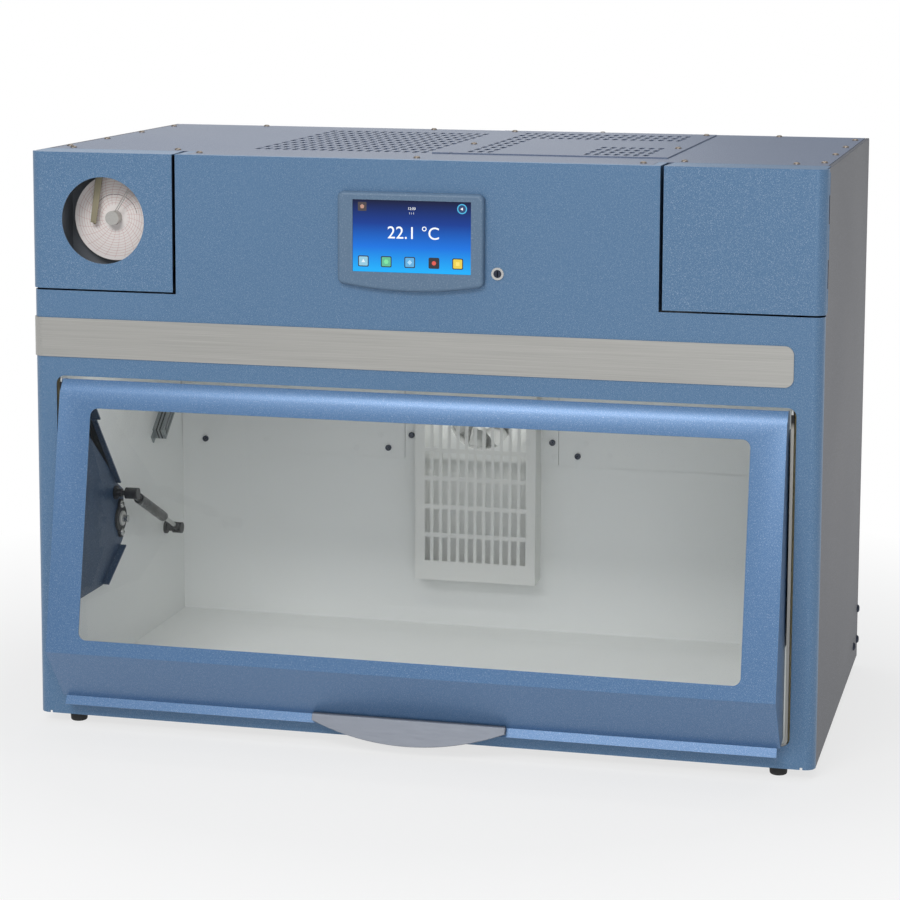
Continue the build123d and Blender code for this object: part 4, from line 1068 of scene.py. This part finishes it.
HEADS: tuple[ScrewHeads, ...] = (
    ScrewHeads("lid_screws", "lid_screw_heads", LID_STEEL, Recess.HEX),
    ScrewHeads("case_screws", "case_screw_heads", DARK_SCREW, Recess.CROSS),
    ScrewHeads("bearing_screws", "bearing_screw_heads", STEEL, Recess.CROSS),
)


@dataclass
class OpeningTrim:
    """The light plastic edging round the opening, darkened along its top run by painted shade."""

    # Heights where the painted shade on the top run starts and where it is full.
    shade_from_z: float = 0.392
    shade_full_z: float = 0.400

    def material(self) -> bpy.types.Material:
        """Builds the edging's material: light plastic, with painted shade along its top run.

        Returns:
            The material.
        """
        made = bpy.data.materials.new("edging_with_painted_top_shade")
        made.use_nodes = True
        board = Board(made.node_tree)
        shader = made.node_tree.nodes["Principled BSDF"]
        place = board.add("ShaderNodeTexCoord").outputs["Object"]
        split = board.add("ShaderNodeSeparateXYZ")
        board.link(place, split.inputs[0])
        # Painted shade: above a set height the edging blends to near black, standing in for the shadow
        # that falls on its top run.
        rise = board.add("ShaderNodeMapRange", From_Min=self.shade_from_z, From_Max=self.shade_full_z)
        board.link(split.outputs["Z"], rise.inputs["Value"])
        board.link(board.blend(rise.outputs["Result"], EDGING.colour, RUBBER.colour),
                   shader.inputs["Base Color"])
        board.link(board.math("MULTIPLY_ADD", rise.outputs["Result"], 0.3, 0.45),
                   shader.inputs["Roughness"])
        return made


@dataclass
class DamperRod:
    """The damper's bright rod with the black moulded socket at its end."""

    model: Construction
    ball_r_mm: float = 5.0
    socket_reach: tuple[float, float] = (0.0185, 0.0190)

    def material(self) -> bpy.types.Material:
        """Builds the rod's two-tone material.

        Returns:
            The material, black round the wall stud's ball and bright beyond it.
        """
        made = bpy.data.materials.new("rod_steel_and_socket")
        made.use_nodes = True
        board = Board(made.node_tree)
        shader = made.node_tree.nodes["Principled BSDF"]
        stud_low, stud_high = self.model.box("wall_stud")
        ball = Vector((stud_high.x - self.ball_r_mm * MM, (stud_low.y + stud_high.y) / 2,
                       (stud_low.z + stud_high.z) / 2))
        off = board.add("ShaderNodeVectorMath", operation="DISTANCE")
        board.link(board.add("ShaderNodeTexCoord").outputs["Object"], off.inputs[0])
        off.inputs[1].default_value = ball
        bright = board.add("ShaderNodeMapRange", From_Min=self.socket_reach[0],
                           From_Max=self.socket_reach[1])
        board.link(off.outputs["Value"], bright.inputs["Value"])
        share = bright.outputs["Result"]
        board.link(board.blend(share, SATIN_BLACK.colour, STEEL.colour), shader.inputs["Base Color"])
        board.link(share, shader.inputs["Metallic"])
        board.link(board.math("MULTIPLY_ADD", share, -0.15, 0.4), shader.inputs["Roughness"])
        return made


@dataclass
class MagneticCatch:
    """The catch on the chamber's wall: steel pole plates with dark magnets between them."""

    model: Construction
    bands: tuple[tuple[float, float], ...] = ((0.30, 0.44), (0.60, 0.74))

    def material(self) -> bpy.types.Material:
        """Builds the layered material.

        Returns:
            The material, banded across the catch.
        """
        made = bpy.data.materials.new("catch_plates_and_magnets")
        made.use_nodes = True
        board = Board(made.node_tree)
        shader = made.node_tree.nodes["Principled BSDF"]
        low, high = self.model.box("magnetic_catch")
        split = board.add("ShaderNodeSeparateXYZ")
        board.link(board.add("ShaderNodeTexCoord").outputs["Object"], split.inputs[0])
        across = board.add("ShaderNodeMapRange", From_Min=low.x, From_Max=high.x)
        board.link(split.outputs["X"], across.inputs["Value"])
        place = across.outputs["Result"]
        layers = [board.math("MULTIPLY", board.math("GREATER_THAN", place, start),
                             board.math("LESS_THAN", place, end)) for start, end in self.bands]
        dark = board.math("MAXIMUM", *layers)
        board.link(board.blend(dark, CATCH.colour, BLACK.colour), shader.inputs["Base Color"])
        board.link(board.math("MULTIPLY_ADD", dark, -0.7, 0.7), shader.inputs["Metallic"])
        board.link(board.math("MULTIPLY_ADD", dark, 0.2, 0.35), shader.inputs["Roughness"])
        return made


@dataclass
class Trim:
    """Small trim that the construction model leaves out: the heat exchangers' fin edges."""

    model: Construction
    fin_pitch_mm: float = 3.0
    fin_thickness_mm: float = 0.5
    fin_proud_mm: float = 0.5
    fin_inset_mm: float = 3.0
    made: list[bpy.types.Object] = field(default_factory=list)

    def _slabs(self, name: str, boxes: Iterable[tuple[Vector, Vector]], finish: Finish, body: str,
               slot: str) -> bpy.types.Object:
        """Adds one piece made of upright boxes.

        Args:
            name: The piece's name.
            boxes: Lowest and highest corner of each box.
            finish: Its finish.
            body: The body it rides on.
            slot: Its material slot; not used.

        Returns:
            The piece.
        """
        def build(edit: bmesh.types.BMesh) -> None:
            """Adds each box."""
            for low, high in boxes:
                cube = bmesh.ops.create_cube(edit, size=1.0)
                size = high - low
                bmesh.ops.transform(edit, verts=cube["verts"], matrix=(
                    Matrix.Translation((low + high) / 2) @ Matrix.Diagonal((*size, 1.0))))

        mesh = mesh_from(name, build)
        mesh.materials.append(finish.material())
        piece = new_object(name, mesh)
        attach(piece, body)
        self.made.append(piece)
        return piece

    def heat_exchanger_fins(self, node: str, name: str, axis: int) -> None:
        """Adds the edges of the thin fins that stand on a heat exchanger's two faces.

        Args:
            node: The exchanger's node.
            name: The piece's name.
            axis: The axis the fins are spaced along.
        """
        low, high = self.model.box(node)
        thin = min(range(3), key=lambda number: (high - low)[number] if number != axis else 9)
        count = int((high - low)[axis] / (self.fin_pitch_mm * MM)) - 2
        boxes = []
        for number in range(count):
            start = low[axis] + (number + 1.5) * self.fin_pitch_mm * MM
            lower, upper = low.copy(), high.copy()
            lower[axis], upper[axis] = start, start + self.fin_thickness_mm * MM
            lower[thin] -= self.fin_proud_mm * MM
            upper[thin] += self.fin_proud_mm * MM
            other = 3 - axis - thin
            lower[other] += self.fin_inset_mm * MM
            upper[other] -= self.fin_inset_mm * MM
            boxes.append((lower, upper))
        self._slabs(name, boxes, FINS, "cabinet", self.model.slot_of(node))

    def build(self) -> None:
        """Adds all the small trim."""
        self.heat_exchanger_fins("evaporator", "evaporator_fin_edges", 0)
        self.heat_exchanger_fins("condenser", "condenser_fin_edges", 0)
        LOG.info("trim: %d pieces", len(self.made))


@dataclass(frozen=True)
class Softbox:
    """A soft rectangular lamp: where it stands, what it faces, its size and its power."""

    name: str
    place: tuple[float, float, float]
    target: tuple[float, float, float]
    size: tuple[float, float]
    watts: float
    colour: Colour = (1.0, 1.0, 1.0)


LAMPS: tuple[Softbox, ...] = (
    Softbox("key_softbox", (-0.5, -3.0, 2.5), (0.0, 0.0, 0.40), (1.6, 1.0), 54),
    Softbox("fill_softbox", (1.2, -3.6, 1.2), (0.0, 0.0, 0.45), (1.2, 1.2), 14),
    Softbox("top_softbox", (0.2, 0.6, 2.8), (0.0, 0.0, 0.5), (2.6, 1.6), 20),
    Softbox("rear_softbox", (-1.2, 3.2, 1.7), (0.0, 0.2, 0.30), (2.0, 1.4), 7),
    Softbox("chamber_lamp", (0.0, -0.110, 0.462), (0.0, -0.11, 0.05), (0.78, 0.04), 0.35,
            (1.0, 0.99, 0.97)),
    Softbox("duct_lamp", (-0.02, 0.175, 0.345), (-0.02, 0.24, 0.25), (0.12, 0.01), 0.04),
)


@dataclass
class Studio:
    """Camera, lamps, floor and background."""

    place: tuple[float, float, float] = (0.74449, -3.06075, 0.90946)
    right: tuple[float, float, float] = (0.970632, 0.240538, 0.003868)
    up: tuple[float, float, float] = (-0.035355, 0.126726, 0.991308)
    forward: tuple[float, float, float] = (-0.237957, 0.962332, -0.131508)
    focal_px: float = 2653.5
    picture_px: float = 900.0
    rise_px: float = 150.0
    sensor_mm: float = 36.0
    world_strength: float = 0.42
    shadow_reach: tuple[float, float] = (0.55, 1.15)
    floor_glow: float = 0.72

    def camera(self) -> bpy.types.Object:
        """Stands the camera where the photo was taken from.

        Returns:
            The camera.
        """
        lens = bpy.data.cameras.new("photo_camera")
        lens.sensor_width = self.sensor_mm
        lens.lens = self.focal_px * self.sensor_mm / self.picture_px
        lens.shift_x = 0.0
        lens.shift_y = -self.rise_px / self.picture_px
        lens.clip_start, lens.clip_end = 0.05, 60.0
        eye = bpy.data.objects.new("photo_camera", lens)
        bpy.context.scene.collection.objects.link(eye)
        turn = Matrix((self.right, self.up, [-value for value in self.forward])).transposed()
        eye.matrix_world = Matrix.Translation(self.place) @ turn.to_4x4()
        bpy.context.scene.camera = eye
        return eye

    @staticmethod
    def lamp(softbox: Softbox) -> bpy.types.Object:
        """Adds a soft rectangular lamp that faces a target.

        Args:
            softbox: The lamp's name, place, aim, size and power.

        Returns:
            The lamp.
        """
        light = bpy.data.lights.new(softbox.name, "AREA")
        light.shape = "RECTANGLE"
        light.size, light.size_y = softbox.size
        light.energy = softbox.watts
        light.color = softbox.colour
        lamp = bpy.data.objects.new(softbox.name, light)
        bpy.context.scene.collection.objects.link(lamp)
        aim = (Vector(softbox.target) - Vector(softbox.place)).to_track_quat("-Z", "Y")
        lamp.matrix_world = Matrix.Translation(softbox.place) @ aim.to_matrix().to_4x4()
        return lamp

    def floor(self) -> None:
        """Lays a pale floor that fades into the white background."""
        def build(edit: bmesh.types.BMesh) -> None:
            """Makes one large square."""
            bmesh.ops.create_grid(edit, x_segments=1, y_segments=1, size=30.0)

        mesh = mesh_from("studio_floor", build)
        material = bpy.data.materials.new("studio_floor_white")
        material.use_nodes = True
        board = Board(material.node_tree)
        shader = material.node_tree.nodes["Principled BSDF"]
        output = material.node_tree.nodes["Material Output"]
        shader.inputs["Roughness"].default_value = 0.7
        shader.inputs["Specular IOR Level"].default_value = 0.1
        place = board.add("ShaderNodeTexCoord").outputs["Object"]
        mottle = board.add("ShaderNodeTexNoise", Scale=0.6, Detail=2.0)
        board.link(place, mottle.inputs["Vector"])
        tone = board.blend(board.math("MULTIPLY", mottle.outputs["Fac"], 0.05), (0.66, 0.66, 0.66),
                           (0.62, 0.62, 0.62))
        board.link(tone, shader.inputs["Base Color"])
        away = board.add("ShaderNodeVectorMath", operation="LENGTH")
        board.link(place, away.inputs[0])
        fade = board.add("ShaderNodeMapRange", From_Min=self.shadow_reach[0],
                         From_Max=self.shadow_reach[1])
        board.link(away.outputs["Value"], fade.inputs["Value"])
        ray = board.add("ShaderNodeLightPath")
        seen = board.math("MAXIMUM", ray.outputs["Is Camera Ray"], ray.outputs["Is Glossy Ray"])
        plain = board.add("ShaderNodeEmission", Strength=1.0)
        mix = board.add("ShaderNodeMixShader")
        share = board.math("MULTIPLY", seen, board.math("MULTIPLY_ADD", fade.outputs["Result"],
                                                        1.0 - self.floor_glow, self.floor_glow))
        board.link(share, mix.inputs[0])
        board.link(shader.outputs[0], mix.inputs[1])
        board.link(plain.outputs[0], mix.inputs[2])
        board.link(mix.outputs[0], output.inputs["Surface"])
        mesh.materials.append(material)
        floor = new_object("studio_floor", mesh)

    def world(self) -> None:
        """Sets a pale, even background that is white to the camera."""
        world = bpy.data.worlds.new("studio_world")
        world.use_nodes = True
        board = Board(world.node_tree)
        board.tree.nodes.clear()
        output = board.add("ShaderNodeOutputWorld")
        ambient = board.add("ShaderNodeBackground", Strength=self.world_strength)
        ambient.inputs["Color"].default_value = (0.93, 0.96, 1.0, 1)
        seen = board.add("ShaderNodeBackground", Strength=1.0)
        seen.inputs["Color"].default_value = (1, 1, 1, 1)
        ray = board.add("ShaderNodeLightPath")
        mix = board.add("ShaderNodeMixShader")
        direct = board.math("MAXIMUM", ray.outputs["Is Camera Ray"],
                            ray.outputs["Is Transmission Ray"])
        board.link(direct, mix.inputs[0])
        board.link(ambient.outputs[0], mix.inputs[1])
        board.link(seen.outputs[0], mix.inputs[2])
        board.link(mix.outputs[0], output.inputs[0])
        bpy.context.scene.world = world

    def build(self) -> None:
        """Sets up everything round the object."""
        self.camera()
        self.world()
        self.floor()
        for lamp in LAMPS:
            self.lamp(lamp)
        bpy.context.scene.view_settings.view_transform = "Standard"


def write_sizes() -> None:
    """Only defines a helper that rounds bounds into plain lists; nothing is written.
    """
    def plain(bounds: Box) -> list[list[float]]:
        """Returns both corners as plain lists."""
        return [[round(value, 6) for value in corner] for corner in bounds]


def main() -> None:
    """Builds the whole scene."""
    logging.basicConfig(level=logging.INFO, format="%(name)s: %(message)s")
    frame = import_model()
    model = Construction(frame)
    chart = model.centre("chart_paper")
    for node, finish in DRESSED.items():
        model.dress(node, finish.material())
    model.dress("chart_paper", ChartRecorder().material(chart))
    model.dress("panel_screws", DARK_SCREW.material())
    model.dress("opening_trim", OpeningTrim().material())
    model.dress("damper_rod", DamperRod(model).material())
    model.dress("magnetic_catch", MagneticCatch(model).material())
    for node, name, radius, finish in SOFTENED:
        model.softened(node, name, radius, finish)
    for heads in HEADS:
        heads.build(model)
    Display(model).build()
    Trim(model).build()
    Studio().build()
    write_sizes()


if __name__ == "__main__":
    main()
